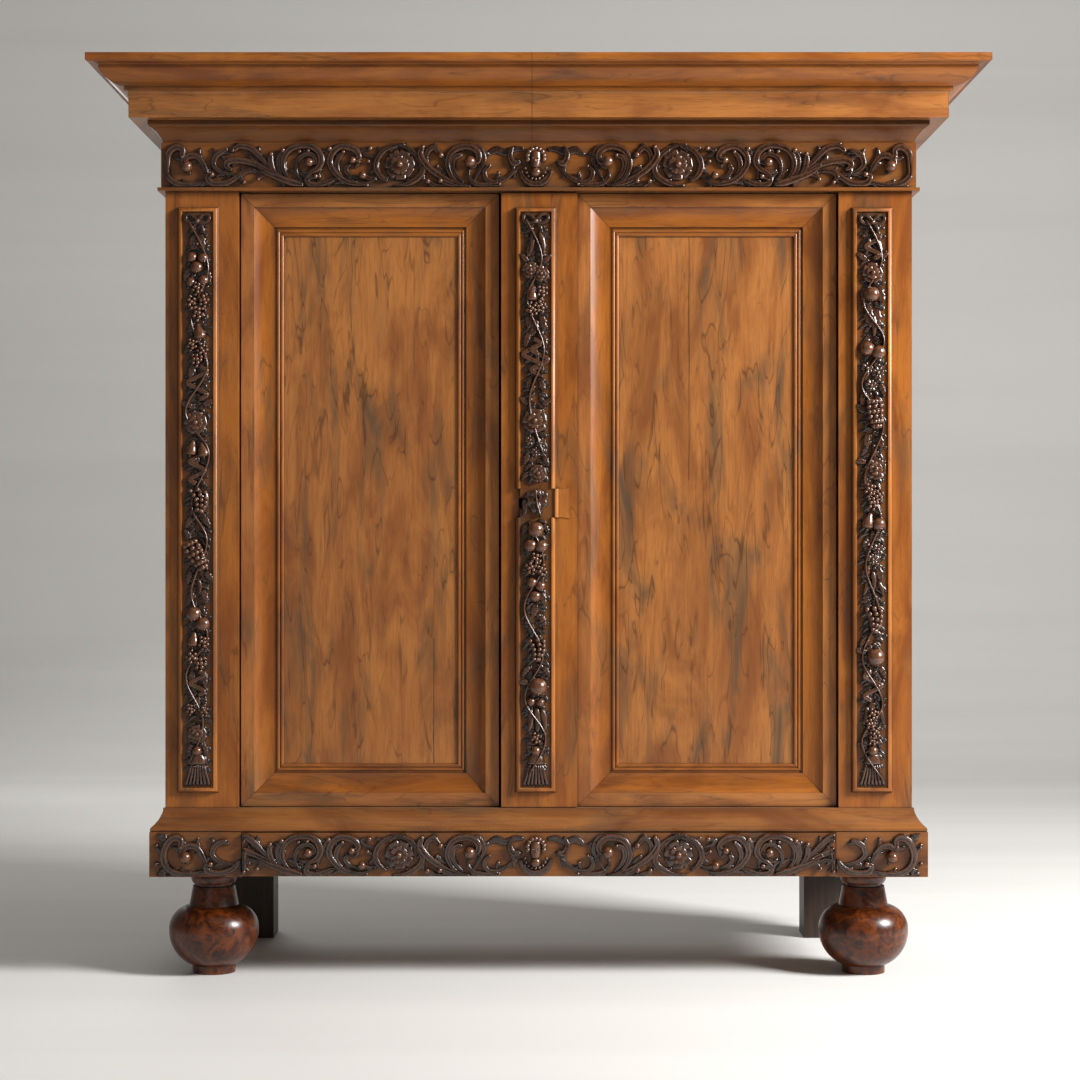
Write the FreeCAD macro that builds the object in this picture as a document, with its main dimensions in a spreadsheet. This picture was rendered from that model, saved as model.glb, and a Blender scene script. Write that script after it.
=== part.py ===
# Walnut two-door cupboard on ball feet, with a carved frieze, pilasters and a drawer in the plinth.
# Frame: millimetres, +Z up, +X to the right of someone who faces the doors, which look along -Y.
# The origin is on the floor, at the middle of the whole cupboard's box.
import FreeCAD, Part
import math
import os
import Sketcher

doc = FreeCAD.newDocument("cupboard")

# Driving dimensions, each with the thing that it measures.
DRIVING = [
    ("case_width", 1620, "outside of the case, over the pilasters"),
    ("case_depth", 600, "face of the pilasters to the back boards"),
    ("foot_height", 223, "floor to the underside of the plinth"),
    ("plinth_height", 97, "carved plinth"),
    ("plinth_reach", 30, "plinth beyond the case, at front and sides"),
    ("base_height", 49, "base frame and its moulding"),
    ("base_setback", 3, "base moulding behind the plinth's face"),
    ("base_bead", 9, "rounded foot of the base moulding"),
    ("base_fillet", 5, "upright top edge of the base moulding"),
    ("base_fillet_reach", 4, "top of the base moulding beyond the case"),
    ("door_height", 1333, "door, without its clearances"),
    ("door_clearance", 1.5, "air under a door"),
    ("door_head_clearance", 2.5, "air over a door"),
    ("frieze_height", 105, "carved frieze"),
    ("bed_height", 44, "bed moulding under the corona"),
    ("bed_foot", 4, "upright foot of the bed moulding"),
    ("bed_fillet", 9, "upright top edge of the bed moulding"),
    ("corona_height", 57, "flat band of the cornice"),
    ("corona_cove", 8, "cove at the top of the corona"),
    ("crown_height", 66, "crown moulding"),
    ("crown_reach", 146, "crown moulding beyond the case"),
    ("crown_cove_reach", 76, "foot of the crown's cove beyond the case"),
    ("crown_width", 110, "crown moulding, front to back"),
    ("crown_lip", 18, "flat top edge of the crown"),
    ("crown_foot", 7, "upright foot of the crown's cove"),
    ("crown_quirk", 7, "fillet between the crown's cove and its bead"),
    ("crown_bead_reach", 24, "bead and lip of the crown beyond its cove"),
    ("moulding_step", 3, "small step beside a curve of the cornice"),
    ("corona_reach", 68, "corona beyond the case"),
    ("bed_reach", 33, "top of the bed moulding beyond the case"),
    ("bed_foot_reach", 5, "foot of the bed moulding beyond the case"),
    ("frieze_reach", 8, "frieze beyond the case"),
    ("frieze_fillet", 7, "fillet along the foot of the frieze, in height and reach"),
    ("frieze_thickness", 12, "frieze board"),
    ("pilaster_width", 159, "side pilaster"),
    ("pilaster_thickness", 30, "side pilaster"),
    ("centre_pilaster_width", 165, "pilaster on the right door"),
    ("centre_offset", 1.5, "middle of the centre pilaster, right of the middle"),
    ("door_setback", 14, "doors behind the pilasters' face"),
    ("door_thickness", 36, "door frame"),
    ("hinge_gap", 3.5, "door to side pilaster"),
    ("meeting_gap", 5.5, "left door to centre pilaster"),
    ("stile_width", 91, "door stile or rail, from its edge to the panel"),
    ("band_width", 29, "flat outer band of a door frame"),
    ("rebate_depth", 18, "rebate that the door moulding is planted in"),
    ("moulding_drop", 3, "door moulding below the face of its door"),
    ("moulding_quirk", 4, "quirk between a door moulding's hollow and its beads"),
    ("moulding_bead", 8, "each of the two beads of a door moulding"),
    ("moulding_foot", 1.5, "door moulding under its beads"),
    ("moulding_arris", 6, "inner edge of a door moulding's hollow above the rebate's floor"),
    ("panel_tongue", 8, "tongue of a panel and width of its groove"),
    ("groove_depth", 10, "panel groove"),
    ("groove_setback", 22, "panel groove behind the door's face"),
    ("panel_field", 14, "door panel, at its middle"),
    ("tenon_length", 55, "door tenon"),
    ("tenon_shoulder", 18, "edge of a rail to its tenon"),
    ("field_width", 90, "raised carved field of a pilaster"),
    ("field_margin", 31.5, "end of a raised field to the end of the doors"),
    ("field_thickness", 9, "raised carved field of a pilaster"),
    ("field_edge", 4, "moulded edge of a raised field"),
    ("field_offset", 8, "middle of each raised field, left of its pilaster's middle"),
    ("cover_height", 62, "keyhole cover, sawn out of the centre field"),
    ("cover_middle", 1030, "middle of the keyhole cover above the floor"),
    ("cover_ajar", 7.5, "how far the cover stands to the right"),
    ("cover_travel", 38, "further travel of the cover to the right"),
    ("cover_tongue", 20, "tongue that the cover slides on"),
    ("cover_tongue_depth", 6, "tongue that the cover slides on"),
    ("cover_tongue_start", 14, "notch of the cover to its tongue"),
    ("cover_tongue_end", 20, "tongue to the right end of the cover"),
    ("cover_lip", 3, "lip of the tongue over its neck"),
    ("notch_width", 28, "worn notch in the cover's left end"),
    ("notch_depth", 16, "worn notch in the cover's left end"),
    ("key_slot_height", 22, "keyhole"),
    ("key_slot_width", 9, "keyhole"),
    ("running_gap", 0.3, "air round a sliding wooden piece"),
    ("side_thickness", 34, "side frame of the case"),
    ("side_stile", 110, "stiles and rails of a side frame"),
    ("side_panel", 14, "panel of a side frame"),
    ("back_thickness", 20, "back boards"),
    ("back_board_count", 6, "back boards"),
    ("board_gap", 0.4, "air between boards that lie side by side"),
    ("sill_width", 90, "base rail under the doors, front to back"),
    ("back_rail_width", 60, "base rails at the back and the sides"),
    ("floor_thickness", 20, "floor boards of the case"),
    ("plinth_thickness", 30, "plinth boards"),
    ("corner_length", 198, "fixed part of the plinth's front, at each end"),
    ("drawer_gap", 1.5, "air round the plinth drawer's front"),
    ("drawer_depth", 470, "drawer box, behind its front"),
    ("drawer_side", 14, "drawer side"),
    ("drawer_side_height", 68, "drawer side"),
    ("drawer_inset", 22, "drawer side to the end of the drawer's front"),
    ("drawer_bottom", 8, "drawer bottom"),
    ("runner_width", 46, "drawer runner"),
    ("runner_thickness", 12, "drawer runner"),
    ("runner_lift", 6, "underside of a runner above the plinth's"),
    ("guide_height", 34, "drawer guide above its runner"),
    ("head_rail_width", 70, "head rail over the doors, front to back"),
    ("head_rail_height", 40, "head rail over the doors"),
    ("head_board", 26, "plain boards behind the frieze and the cornice"),
    ("ceiling_lift", 8, "ceiling boards above the doors' rebate"),
    ("ceiling_thickness", 16, "ceiling boards of the case"),
    ("dust_thickness", 16, "dust boards over the cornice"),
    ("shelf_thickness", 22, "shelf"),
    ("shelf_setback", 110, "shelf behind the pilasters' face"),
    ("lower_shelf", 790, "underside of the lower shelf above the floor"),
    ("upper_shelf", 1250, "underside of the upper shelf above the floor"),
    ("cleat_height", 30, "shelf cleat"),
    ("cleat_thickness", 22, "shelf cleat"),
    ("foot_radius", 98, "ball foot at its widest"),
    ("foot_ball_height", 148, "top of the ball above the floor"),
    ("foot_collar_radius", 54, "foot of the collar over the ball"),
    ("foot_collar_top_radius", 46, "top of that collar"),
    ("foot_neck_radius", 38, "neck over the collar"),
    ("foot_ring_height", 27, "ring under the plinth"),
    ("foot_ring_edge", 45, "top and bottom edge of that ring"),
    ("foot_neck_height", 6, "neck under the ring"),
    ("foot_ball_middle", 95, "widest part of the ball above the floor"),
    ("foot_base_radius", 47, "ring on the floor"),
    ("foot_base_height", 17, "ring on the floor"),
    ("foot_setback", 76, "middle of a ball foot behind the pilasters' face"),
    ("foot_inset", 95, "middle of a ball foot in from the case's side"),
    ("spigot_radius", 18, "spigot on a foot"),
    ("spigot_length", 50, "spigot on a foot"),
    ("spigot_clearance", 0.3, "air round a spigot"),
    ("spigot_room", 2, "air over a spigot"),
    ("foot_block", 120, "corner block over a foot"),
    ("foot_block_height", 70, "corner block over a foot"),
    ("rear_foot", 100, "square rear foot"),
    ("rear_foot_inset", 77, "rear foot in from the case's side"),
    ("pivot_radius", 6, "pin that a door turns on"),
    ("pivot_clearance", 0.08, "air round a door's pin"),
    ("pivot_inset", 12, "pin in from the door's edge"),
    ("pivot_setback", 8, "pin behind the door's face"),
    ("pivot_seat", 20, "pin inside the door"),
    ("pivot_reach", 12, "pin beyond the door"),
    ("pivot_plate", 5, "socket plate of a pin"),
    ("pivot_plate_width", 26, "socket plate of a pin"),
    ("lock_inset", 8, "lock in from the right door's free edge"),
    ("lock_wall", 4, "wall of the lock"),
    ("lock_width", 120, "iron rim lock on the right door"),
    ("lock_height", 90, "iron rim lock on the right door"),
    ("lock_thickness", 22, "iron rim lock on the right door"),
    ("bolt_height", 22, "lock bolt"),
    ("bolt_thickness", 8, "lock bolt"),
    ("bolt_length", 84, "lock bolt"),
    ("bolt_throw", 24, "lock bolt"),
    ("keeper_width", 30, "iron keeper on the left door"),
    ("slide_bolt_width", 16, "slide bolts of the left door"),
    ("slide_bolt_thickness", 8, "slide bolts of the left door"),
    ("slide_bolt_length", 240, "slide bolts of the left door"),
    ("slide_bolt_throw", 18, "slide bolts of the left door"),
    ("slide_bolt_rest", 4, "end of a drawn bolt inside the door's edge"),
    ("slide_bolt_inset", 46, "slide bolts in from the left door's free edge"),
    ("slide_bolt_knob", 12, "knob of a slide bolt"),
    ("staple_wall", 4, "staples that hold a slide bolt"),
    ("staple_inset", 48, "middle of a staple from the end of its bolt"),
]

# Places that follow from the driving dimensions.
DERIVED = [
    ("case_half", "Sizes.case_width / 2"),
    ("front", "-(Sizes.case_depth + Sizes.crown_reach) / 2"),
    ("back", "-front"),
    ("face", "front + Sizes.crown_reach"),
    ("plinth_bottom", "Sizes.foot_height"),
    ("plinth_top", "plinth_bottom + Sizes.plinth_height"),
    ("plinth_face", "face - Sizes.plinth_reach"),
    ("plinth_half", "case_half + Sizes.plinth_reach"),
    ("base_top", "plinth_top + Sizes.base_height"),
    ("door_bottom", "base_top + Sizes.door_clearance"),
    ("door_top", "door_bottom + Sizes.door_height"),
    ("case_top", "door_top + Sizes.door_head_clearance"),
    ("frieze_top", "case_top + Sizes.frieze_height"),
    ("bed_top", "frieze_top + Sizes.bed_height"),
    ("corona_top", "bed_top + Sizes.corona_height"),
    ("planting", "face + Sizes.frieze_thickness - Sizes.frieze_reach"),
    ("planting_half", "case_half - Sizes.frieze_thickness + Sizes.frieze_reach"),
    ("opening_half", "case_half - Sizes.pilaster_width"),
    ("pilaster_back", "face + Sizes.pilaster_thickness"),
    ("door_face", "face + Sizes.door_setback"),
    ("door_back", "door_face + Sizes.door_thickness"),
    ("door_outer", "opening_half - Sizes.hinge_gap"),
    ("pilaster_left", "Sizes.centre_offset - Sizes.centre_pilaster_width / 2"),
    ("pilaster_right", "Sizes.centre_offset + Sizes.centre_pilaster_width / 2"),
    ("left_door_edge", "pilaster_left - Sizes.meeting_gap"),
    ("moulding_width", "Sizes.stile_width - Sizes.band_width"),
    ("field_bottom", "door_bottom + Sizes.field_margin"),
    ("field_top", "door_top - Sizes.field_margin"),
    ("field_face", "face - Sizes.field_thickness"),
    ("centre_field", "Sizes.centre_offset - Sizes.field_offset"),
    ("centre_field_left", "centre_field - Sizes.field_width / 2"),
    ("cover_bottom", "Sizes.cover_middle - Sizes.cover_height / 2"),
    ("cover_top", "Sizes.cover_middle + Sizes.cover_height / 2"),
    ("cover_left", "centre_field_left + Sizes.cover_ajar"),
    ("key_middle", "cover_left + Sizes.notch_depth / 2 - Sizes.key_slot_width / 4"),
    ("side_inner", "case_half - Sizes.side_thickness"),
    ("back_face", "back - Sizes.back_thickness"),
    ("pivot_x", "door_outer - Sizes.pivot_inset"),
    ("pivot_y", "door_face + Sizes.pivot_setback"),
    ("corner_inner", "plinth_half - Sizes.corner_length"),
    ("drawer_half", "corner_inner - Sizes.drawer_gap"),
    ("drawer_box_half", "drawer_half - Sizes.drawer_inset"),
    ("drawer_side_bottom", "plinth_bottom + Sizes.runner_lift + Sizes.runner_thickness"),
    ("drawer_back", "plinth_face + Sizes.plinth_thickness + Sizes.drawer_depth"),
    ("plinth_inner", "plinth_half - Sizes.plinth_thickness"),
    ("head_inner", "planting_half - Sizes.head_board"),
    ("ceiling_bottom", "case_top + Sizes.ceiling_lift"),
    ("foot_ring_bottom", "Sizes.foot_height - Sizes.foot_ring_height"),
    ("foot_collar_top", "foot_ring_bottom - Sizes.foot_neck_height"),
    ("foot_x", "case_half - Sizes.foot_inset"),
    ("foot_y", "face + Sizes.foot_setback"),
    ("rear_foot_x", "case_half - Sizes.rear_foot_inset - Sizes.rear_foot / 2"),
    ("rear_foot_y", "back - Sizes.rear_foot / 2"),
    ("lock_left", "pilaster_left + Sizes.lock_inset"),
    ("lock_bottom", "Sizes.cover_middle - Sizes.lock_height / 2"),
    ("lock_back", "door_back + Sizes.lock_thickness"),
    ("bolt_middle", "Sizes.cover_middle + Sizes.lock_height / 4"),
    ("bolt_front", "door_back + (Sizes.lock_thickness - Sizes.bolt_thickness) / 2"),
    ("slide_bolt_left", "left_door_edge - Sizes.slide_bolt_inset"),
]


def make_sheet(name, rows):
    sheet = doc.addObject("Spreadsheet::Sheet", name)
    for row, entry in enumerate(rows, start=1):
        sheet.set(f"A{row}", entry[0])
        is_formula = isinstance(entry[1], str)
        sheet.set(f"B{row}", "=" + entry[1] if is_formula else str(entry[1]))
        if not is_formula:
            sheet.set(f"C{row}", entry[2])
        sheet.setAlias(f"B{row}", entry[0])
    doc.recompute()
    return sheet


sizes = make_sheet("Sizes", DRIVING)
places = make_sheet("Places", DERIVED)
parts = []


def number(expression):
    """The present value of an expression, as a plain number."""
    result = places.evalExpression(str(expression))
    return float(getattr(result, "Value", result))


def keep(piece):
    """Count a piece among the ones that are written out."""
    parts.append(piece)
    return piece


def mirrored(side, inner, outer):
    """A span between two distances from the middle, on the right (1) or on the left (-1)."""
    if side > 0:
        return (inner, outer)
    return (f"-({outer})", f"-({inner})")


def box_feature(body, kind, name, x, y, z):
    """A box inside a body, between the three pairs of places."""
    box = body.newObject(f"PartDesign::{kind}Box", name)
    for axis, size, span in (("x", "Length", x), ("y", "Width", y), ("z", "Height", z)):
        box.setExpression(size, f"({span[1]}) - ({span[0]})")
        box.setExpression(f"Placement.Base.{axis}", f"{span[0]}")
    return box


def round_feature(body, kind, name, radius, x, y, z):
    """An upright cylinder inside a body, about x and y and between two heights."""
    cylinder = body.newObject(f"PartDesign::{kind}Cylinder", name)
    cylinder.setExpression("Radius", radius)
    cylinder.setExpression("Height", f"({z[1]}) - ({z[0]})")
    for axis, place in (("x", x), ("y", y), ("z", z[0])):
        cylinder.setExpression(f"Placement.Base.{axis}", place)
    return cylinder


def timber(label, x, y, z, cuts=(), tenons=(), holes=()):
    """A piece of wood or iron sawn square, with its mortises, grooves, tenons and round holes."""
    body = doc.addObject("PartDesign::Body", label)
    body.Label = label
    box_feature(body, "Additive", "blank", x, y, z)
    for index, spans in enumerate(tenons):
        box_feature(body, "Additive", f"tenon_{index}", *spans)
    for index, spans in enumerate(cuts):
        box_feature(body, "Subtractive", f"cut_{index}", *spans)
    for index, hole in enumerate(holes):
        round_feature(body, "Subtractive", f"hole_{index}", *hole)
    return body


def group(label, pieces):
    """Like pieces that share one file, each a solid of its own."""
    compound = doc.addObject("Part::Compound", label)
    compound.Label = label
    compound.Links = pieces
    return keep(compound)


def origin_plane(body, role):
    return next(item for item in body.Origin.OriginFeatures if item.Role == role)


def outline(body, name, plane, points):
    """A closed sketch. A point is (across, up), or (across, up, roundness) after an arc:
    the arc's radius over its chord, positive where it bulges to the left of the way there."""
    sketch = body.newObject("Sketcher::SketchObject", name)
    sketch.AttachmentSupport = [(origin_plane(body, plane), "")]
    sketch.MapMode = "FlatFace"
    spots = [FreeCAD.Vector(number(point[0]), number(point[1]), 0) for point in points]
    ends = []
    for index, point in enumerate(points):
        start = spots[index - 1]
        end = spots[index]
        if len(point) == 2:
            sketch.addGeometry(Part.LineSegment(start, end))
            ends.append((1, 2))
            continue
        chord = end - start
        radius = abs(point[2]) * chord.Length
        sagitta = radius - math.sqrt(radius ** 2 - chord.Length ** 2 / 4)
        left = FreeCAD.Vector(-chord.y, chord.x, 0).normalize()
        middle = start + chord * 0.5 + left * math.copysign(sagitta, point[2])
        if point[2] > 0:
            sketch.addGeometry(Part.ArcOfCircle(end, middle, start))
            ends.append((2, 1))
        else:
            sketch.addGeometry(Part.ArcOfCircle(start, middle, end))
            ends.append((1, 2))
    for index, point in enumerate(points):
        following = (index + 1) % len(points)
        joint = (index, ends[index][1], following, ends[following][0])
        sketch.addConstraint(Sketcher.Constraint("Coincident", *joint))
        for direction, where in (("DistanceX", point[0]), ("DistanceY", point[1])):
            here = spots[index].x if direction == "DistanceX" else spots[index].y
            row = sketch.addConstraint(Sketcher.Constraint(direction, -1, 1, index, ends[index][1], here))
            if isinstance(where, str):
                sketch.setExpression(f"Constraints[{row}]", where)
        if len(point) == 3:
            before = points[index - 1]
            chord = (spots[index] - spots[index - 1]).Length
            row = sketch.addConstraint(Sketcher.Constraint("Radius", index, abs(point[2]) * chord))
            across = f"(({point[0]}) - ({before[0]}))"
            up = f"(({point[1]}) - ({before[1]}))"
            sketch.setExpression(f"Constraints[{row}]", f"{abs(point[2])} * sqrt({across} ^ 2 + {up} ^ 2)")
    return sketch


# A mitre's cut is this much deeper than the moulding's reach, because curves may bulge past it.
MITRE_MARGIN = 1.5


def moulding(label, profile, run, reach, mitres, base, turn):
    """A length of moulding along its own X, with its planted face on XZ and its front to -Y.
    A mitre of 1 grows with the reach, -1 shrinks with it and 0 is a square end."""
    body = doc.addObject("PartDesign::Body", label)
    body.Label = label
    pad = body.newObject("PartDesign::Pad", "run")
    pad.Profile = outline(body, "section", "YZ_Plane", profile)
    pad.SideType = "Two sides"
    pad.setExpression("Length", f"({run}) + {max(mitres[1], 0)} * ({reach})")
    if mitres[0] > 0:
        pad.setExpression("Length2", reach)
    else:
        pad.SideType = "One side"
    for name, mitre, start, way in (("far", mitres[1], run, 1), ("near", mitres[0], "0", -1)):
        if mitre == 0:
            continue
        depth = f"{MITRE_MARGIN} * ({reach})"
        tip = f"({start}) + {way * mitre} * {depth}"
        beyond = f"({start}) + {2 * way} * {depth}"
        corners = [(start, "0"), (tip, f"-{depth}"), (beyond, f"-{depth}"), (beyond, "0")]
        cut = body.newObject("PartDesign::Pocket", f"{name}_mitre")
        cut.Profile = outline(body, f"{name}_mitre_line", "XY_Plane", corners)
        cut.Type = "ThroughAll"
        cut.Midplane = True
    for axis, place in zip("xyz", base):
        body.setExpression(f"Placement.Base.{axis}", place)
    body.Placement.Rotation = turn
    return body


def spin_foot(label):
    """A turned ball foot: floor ring, ball, collar, neck, top ring and spigot."""
    body = doc.addObject("PartDesign::Body", label)
    body.Label = label
    points = [
        ("0", "0"),
        ("Sizes.foot_base_radius", "0"),
        ("Sizes.foot_base_radius", "Sizes.foot_base_height"),
        ("Sizes.foot_radius", "Sizes.foot_ball_middle", -0.87),
        ("Sizes.foot_collar_radius", "Sizes.foot_ball_height", -0.76),
        ("Sizes.foot_collar_top_radius", "Places.foot_collar_top"),
        ("Sizes.foot_neck_radius", "Places.foot_collar_top"),
        ("Sizes.foot_neck_radius", "Places.foot_ring_bottom"),
        ("Sizes.foot_ring_edge", "Places.foot_ring_bottom"),
        ("Sizes.foot_ring_edge", "Sizes.foot_height", -0.75),
        ("Sizes.spigot_radius", "Sizes.foot_height"),
        ("Sizes.spigot_radius", "Sizes.foot_height + Sizes.spigot_length"),
        ("0", "Sizes.foot_height + Sizes.spigot_length"),
    ]
    turning = body.newObject("PartDesign::Revolution", "turning")
    turning.Profile = outline(body, "half_outline", "XZ_Plane", points)
    turning.ReferenceAxis = (origin_plane(body, "Z_Axis"), [""])
    turning.Angle = 360
    return body


def placed(body, x, y, z="0"):
    for axis, place in (("x", x), ("y", y), ("z", z)):
        body.setExpression(f"Placement.Base.{axis}", place)
    return body


def make_feet():
    """Turned feet at the front, plain square ones at the back, and the blocks that hold them."""
    front_feet = []
    rear_feet = []
    blocks = []
    block_half = "Sizes.foot_block / 2"
    seat_height = ("Places.plinth_bottom", "Places.plinth_bottom + Sizes.foot_block_height")
    hole_height = ("Places.plinth_bottom", "Places.plinth_bottom + Sizes.spigot_length + Sizes.spigot_room")
    spigot_hole = "Sizes.spigot_radius + Sizes.spigot_clearance"
    rear_half = "Sizes.rear_foot / 2"
    spigot_height = ("Sizes.foot_height", "Sizes.foot_height + Sizes.spigot_length")
    for side, word in ((-1, "left"), (1, "right")):
        foot = placed(spin_foot(f"front_foot_{word}"), f"{side} * Places.foot_x", "Places.foot_y")
        front_feet.append(foot)
        post = timber(
            f"rear_foot_{word}",
            mirrored(side, f"Places.rear_foot_x - {rear_half}", f"Places.rear_foot_x + {rear_half}"),
            ("Places.back - Sizes.rear_foot", "Places.back"),
            ("0", "Sizes.foot_height"),
        )
        rear_x = f"{side} * Places.rear_foot_x"
        spigot = (rear_x, "Places.rear_foot_y", spigot_height)
        round_feature(post, "Additive", "spigot", "Sizes.spigot_radius", *spigot)
        rear_feet.append(post)
        blocks.append(timber(
            f"front_block_{word}",
            mirrored(side, f"Places.foot_x - {block_half}", "Places.plinth_inner"),
            ("Places.plinth_face + Sizes.plinth_thickness", f"Places.foot_y + {block_half}"),
            seat_height,
            holes=[(spigot_hole, f"{side} * Places.foot_x", "Places.foot_y", hole_height)],
        ))
        blocks.append(timber(
            f"rear_block_{word}",
            mirrored(side, f"Places.rear_foot_x - {block_half}", "Places.plinth_inner"),
            (f"Places.rear_foot_y - {block_half}", "Places.back - Sizes.plinth_thickness"),
            seat_height,
            holes=[(spigot_hole, rear_x, "Places.rear_foot_y", hole_height)],
        ))
    group("front_ball_feet", front_feet)
    group("rear_feet", rear_feet)
    group("foot_blocks", blocks)


def make_plinth():
    """The fixed ends of the carved front, the plain sides and back, and the drawer's runners."""
    height = ("Places.plinth_bottom", "Places.plinth_top")
    corners = []
    sides = []
    runners = []
    for side, word in ((-1, "left"), (1, "right")):
        corners.append(timber(
            f"plinth_corner_{word}",
            mirrored(side, "Places.corner_inner", "Places.plinth_half"),
            ("Places.plinth_face", "Places.plinth_face + Sizes.plinth_thickness"),
            height,
        ))
        sides.append(timber(
            f"plinth_side_{word}",
            mirrored(side, "Places.plinth_inner", "Places.plinth_half"),
            ("Places.plinth_face + Sizes.plinth_thickness", "Places.back"),
            height,
        ))
        runner_y = (
            "Places.plinth_face + Sizes.plinth_thickness",
            "Places.rear_foot_y - Sizes.foot_block / 2",
        )
        runner_bottom = "Places.plinth_bottom + Sizes.runner_lift"
        guide_inner = "Places.drawer_box_half + Sizes.drawer_gap"
        runner_inner = "Places.drawer_box_half - Sizes.runner_width / 2"
        guide_outer = "Places.foot_x - Sizes.foot_block / 2"
        guide_top = "Places.drawer_side_bottom + Sizes.guide_height"
        runners.append(timber(
            f"drawer_runner_{word}",
            mirrored(side, runner_inner, guide_outer),
            runner_y,
            (runner_bottom, "Places.drawer_side_bottom"),
            tenons=[(mirrored(side, guide_inner, guide_outer), runner_y, (runner_bottom, guide_top))],
        ))
    group("plinth_corners", corners)
    group("plinth_sides", sides)
    group("drawer_runners", runners)
    keep(timber(
        "plinth_back",
        ("-Places.plinth_inner", "Places.plinth_inner"),
        ("Places.back - Sizes.plinth_thickness", "Places.back"),
        height,
    ))


def make_drawer():
    """The drawer behind the middle of the carved plinth. It has no handle and pulls by its edge."""
    front_back = "Places.plinth_face + Sizes.plinth_thickness"
    side_top = "Places.drawer_side_bottom + Sizes.drawer_side_height"
    lap = "Sizes.drawer_side / 2"
    bottom_top = "Places.drawer_side_bottom + 2 * Sizes.drawer_bottom"
    bottom = ("Places.drawer_side_bottom + Sizes.drawer_bottom", bottom_top)
    inner = "Places.drawer_box_half - Sizes.drawer_side"
    bottom_half = f"{inner} + {lap}"
    bottom_y = (f"{front_back} - {lap}", "Places.drawer_back - Sizes.drawer_side")
    sides_height = ("Places.drawer_side_bottom", side_top)
    keep(timber(
        "drawer_front",
        ("-Places.drawer_half", "Places.drawer_half"),
        ("Places.plinth_face", front_back),
        ("Places.plinth_bottom + Sizes.drawer_gap", "Places.plinth_top - Sizes.drawer_gap"),
        cuts=[
            ((f"-({bottom_half})", bottom_half), (bottom_y[0], front_back), bottom),
            (mirrored(1, inner, "Places.drawer_box_half"), (bottom_y[0], front_back), sides_height),
            (mirrored(-1, inner, "Places.drawer_box_half"), (bottom_y[0], front_back), sides_height),
        ],
    ))
    for side, word in ((-1, "left"), (1, "right")):
        keep(timber(
            f"drawer_side_{word}",
            mirrored(side, inner, "Places.drawer_box_half"),
            (bottom_y[0], "Places.drawer_back"),
            sides_height,
            cuts=[(mirrored(side, inner, bottom_half), bottom_y, bottom)],
        ))
    keep(timber(
        "drawer_back",
        (f"-({inner})", inner),
        ("Places.drawer_back - Sizes.drawer_side", "Places.drawer_back"),
        (bottom_top, side_top),
    ))
    keep(timber("drawer_bottom", (f"-({bottom_half})", bottom_half), bottom_y, bottom))


PIVOT_HOLE = "Sizes.pivot_radius + 2 * Sizes.running_gap"


def plate_recess(side, z):
    half = "Sizes.pivot_plate_width / 2"
    across = mirrored(side, f"Places.pivot_x - {half}", f"Places.pivot_x + {half}")
    return (across, (f"Places.pivot_y - {half}", f"Places.pivot_y + {half}"), z)


def slide_bolt_hole(z):
    gap = "2 * Sizes.running_gap"
    across = (
        f"Places.slide_bolt_left - {gap}",
        f"Places.slide_bolt_left + Sizes.slide_bolt_width + {gap}",
    )
    deep = (
        f"Places.door_back + Sizes.staple_wall - {gap}",
        f"Places.door_back + Sizes.staple_wall + Sizes.slide_bolt_thickness + {gap}",
    )
    return (across, deep, z)


def make_base():
    """The frame that the case stands on, its floor boards and its flared moulding."""
    height = ("Places.plinth_top", "Places.base_top")
    sill_back = "Places.face + Sizes.sill_width"
    rail_front = "Places.back - Sizes.back_rail_width"
    side_inner = "Places.case_half - Sizes.back_rail_width"
    plate_height = ("Places.base_top - Sizes.pivot_plate", "Places.base_top")
    hole_height = ("Places.base_top - Sizes.pivot_plate - Sizes.pivot_reach", "Places.base_top")
    bolt_height = ("Places.base_top - Sizes.slide_bolt_throw", "Places.base_top")
    keep(timber(
        "base_front_rail",
        ("-Places.case_half", "Places.case_half"),
        ("Places.face", sill_back),
        height,
        cuts=[plate_recess(-1, plate_height), plate_recess(1, plate_height), slide_bolt_hole(bolt_height)],
        holes=[(PIVOT_HOLE, f"{side} * Places.pivot_x", "Places.pivot_y", hole_height) for side in (-1, 1)],
    ))
    keep(timber(
        "base_back_rail",
        ("-Places.case_half", "Places.case_half"),
        (rail_front, "Places.back"),
        height,
    ))
    group("base_side_rails", [
        timber(f"base_rail_{word}", mirrored(side, side_inner, "Places.case_half"),
               (sill_back, rail_front), height)
        for side, word in ((-1, "left"), (1, "right"))
    ])
    keep(timber(
        "floor_boards",
        (f"-({side_inner})", side_inner),
        (sill_back, rail_front),
        ("Places.base_top - Sizes.floor_thickness", "Places.base_top"),
    ))
    foot = "Sizes.base_setback - Sizes.plinth_reach"
    profile = [
        ("0", "0"),
        (foot, "0"),
        (foot, "Sizes.base_bead", 0.7),
        ("-Sizes.base_fillet_reach", "Sizes.base_height - Sizes.base_fillet", -1.6),
        ("-Sizes.base_fillet_reach", "Sizes.base_height"),
        ("0", "Sizes.base_height"),
    ]
    mitred_surround("base_moulding", profile, "Sizes.plinth_reach", "Places.case_half", "Places.face",
                    "Places.plinth_top")


def mitred_surround(label, profile, reach, half, front, bottom):
    """A moulding along the front and both sides, mitred at the front corners."""
    depth = f"Places.back - ({front})"
    across = f"2 * ({half})"
    upright = FreeCAD.Vector(0, 0, 1)
    group(label, [
        moulding(f"{label}_front", profile, across, reach, (1, 1), (f"-({half})", front, bottom),
                 FreeCAD.Rotation()),
        moulding(f"{label}_right", profile, depth, reach, (1, 0), (half, front, bottom),
                 FreeCAD.Rotation(upright, 90)),
        moulding(f"{label}_left", profile, depth, reach, (0, 1), (f"-({half})", "Places.back", bottom),
                 FreeCAD.Rotation(upright, -90)),
    ])


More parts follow.
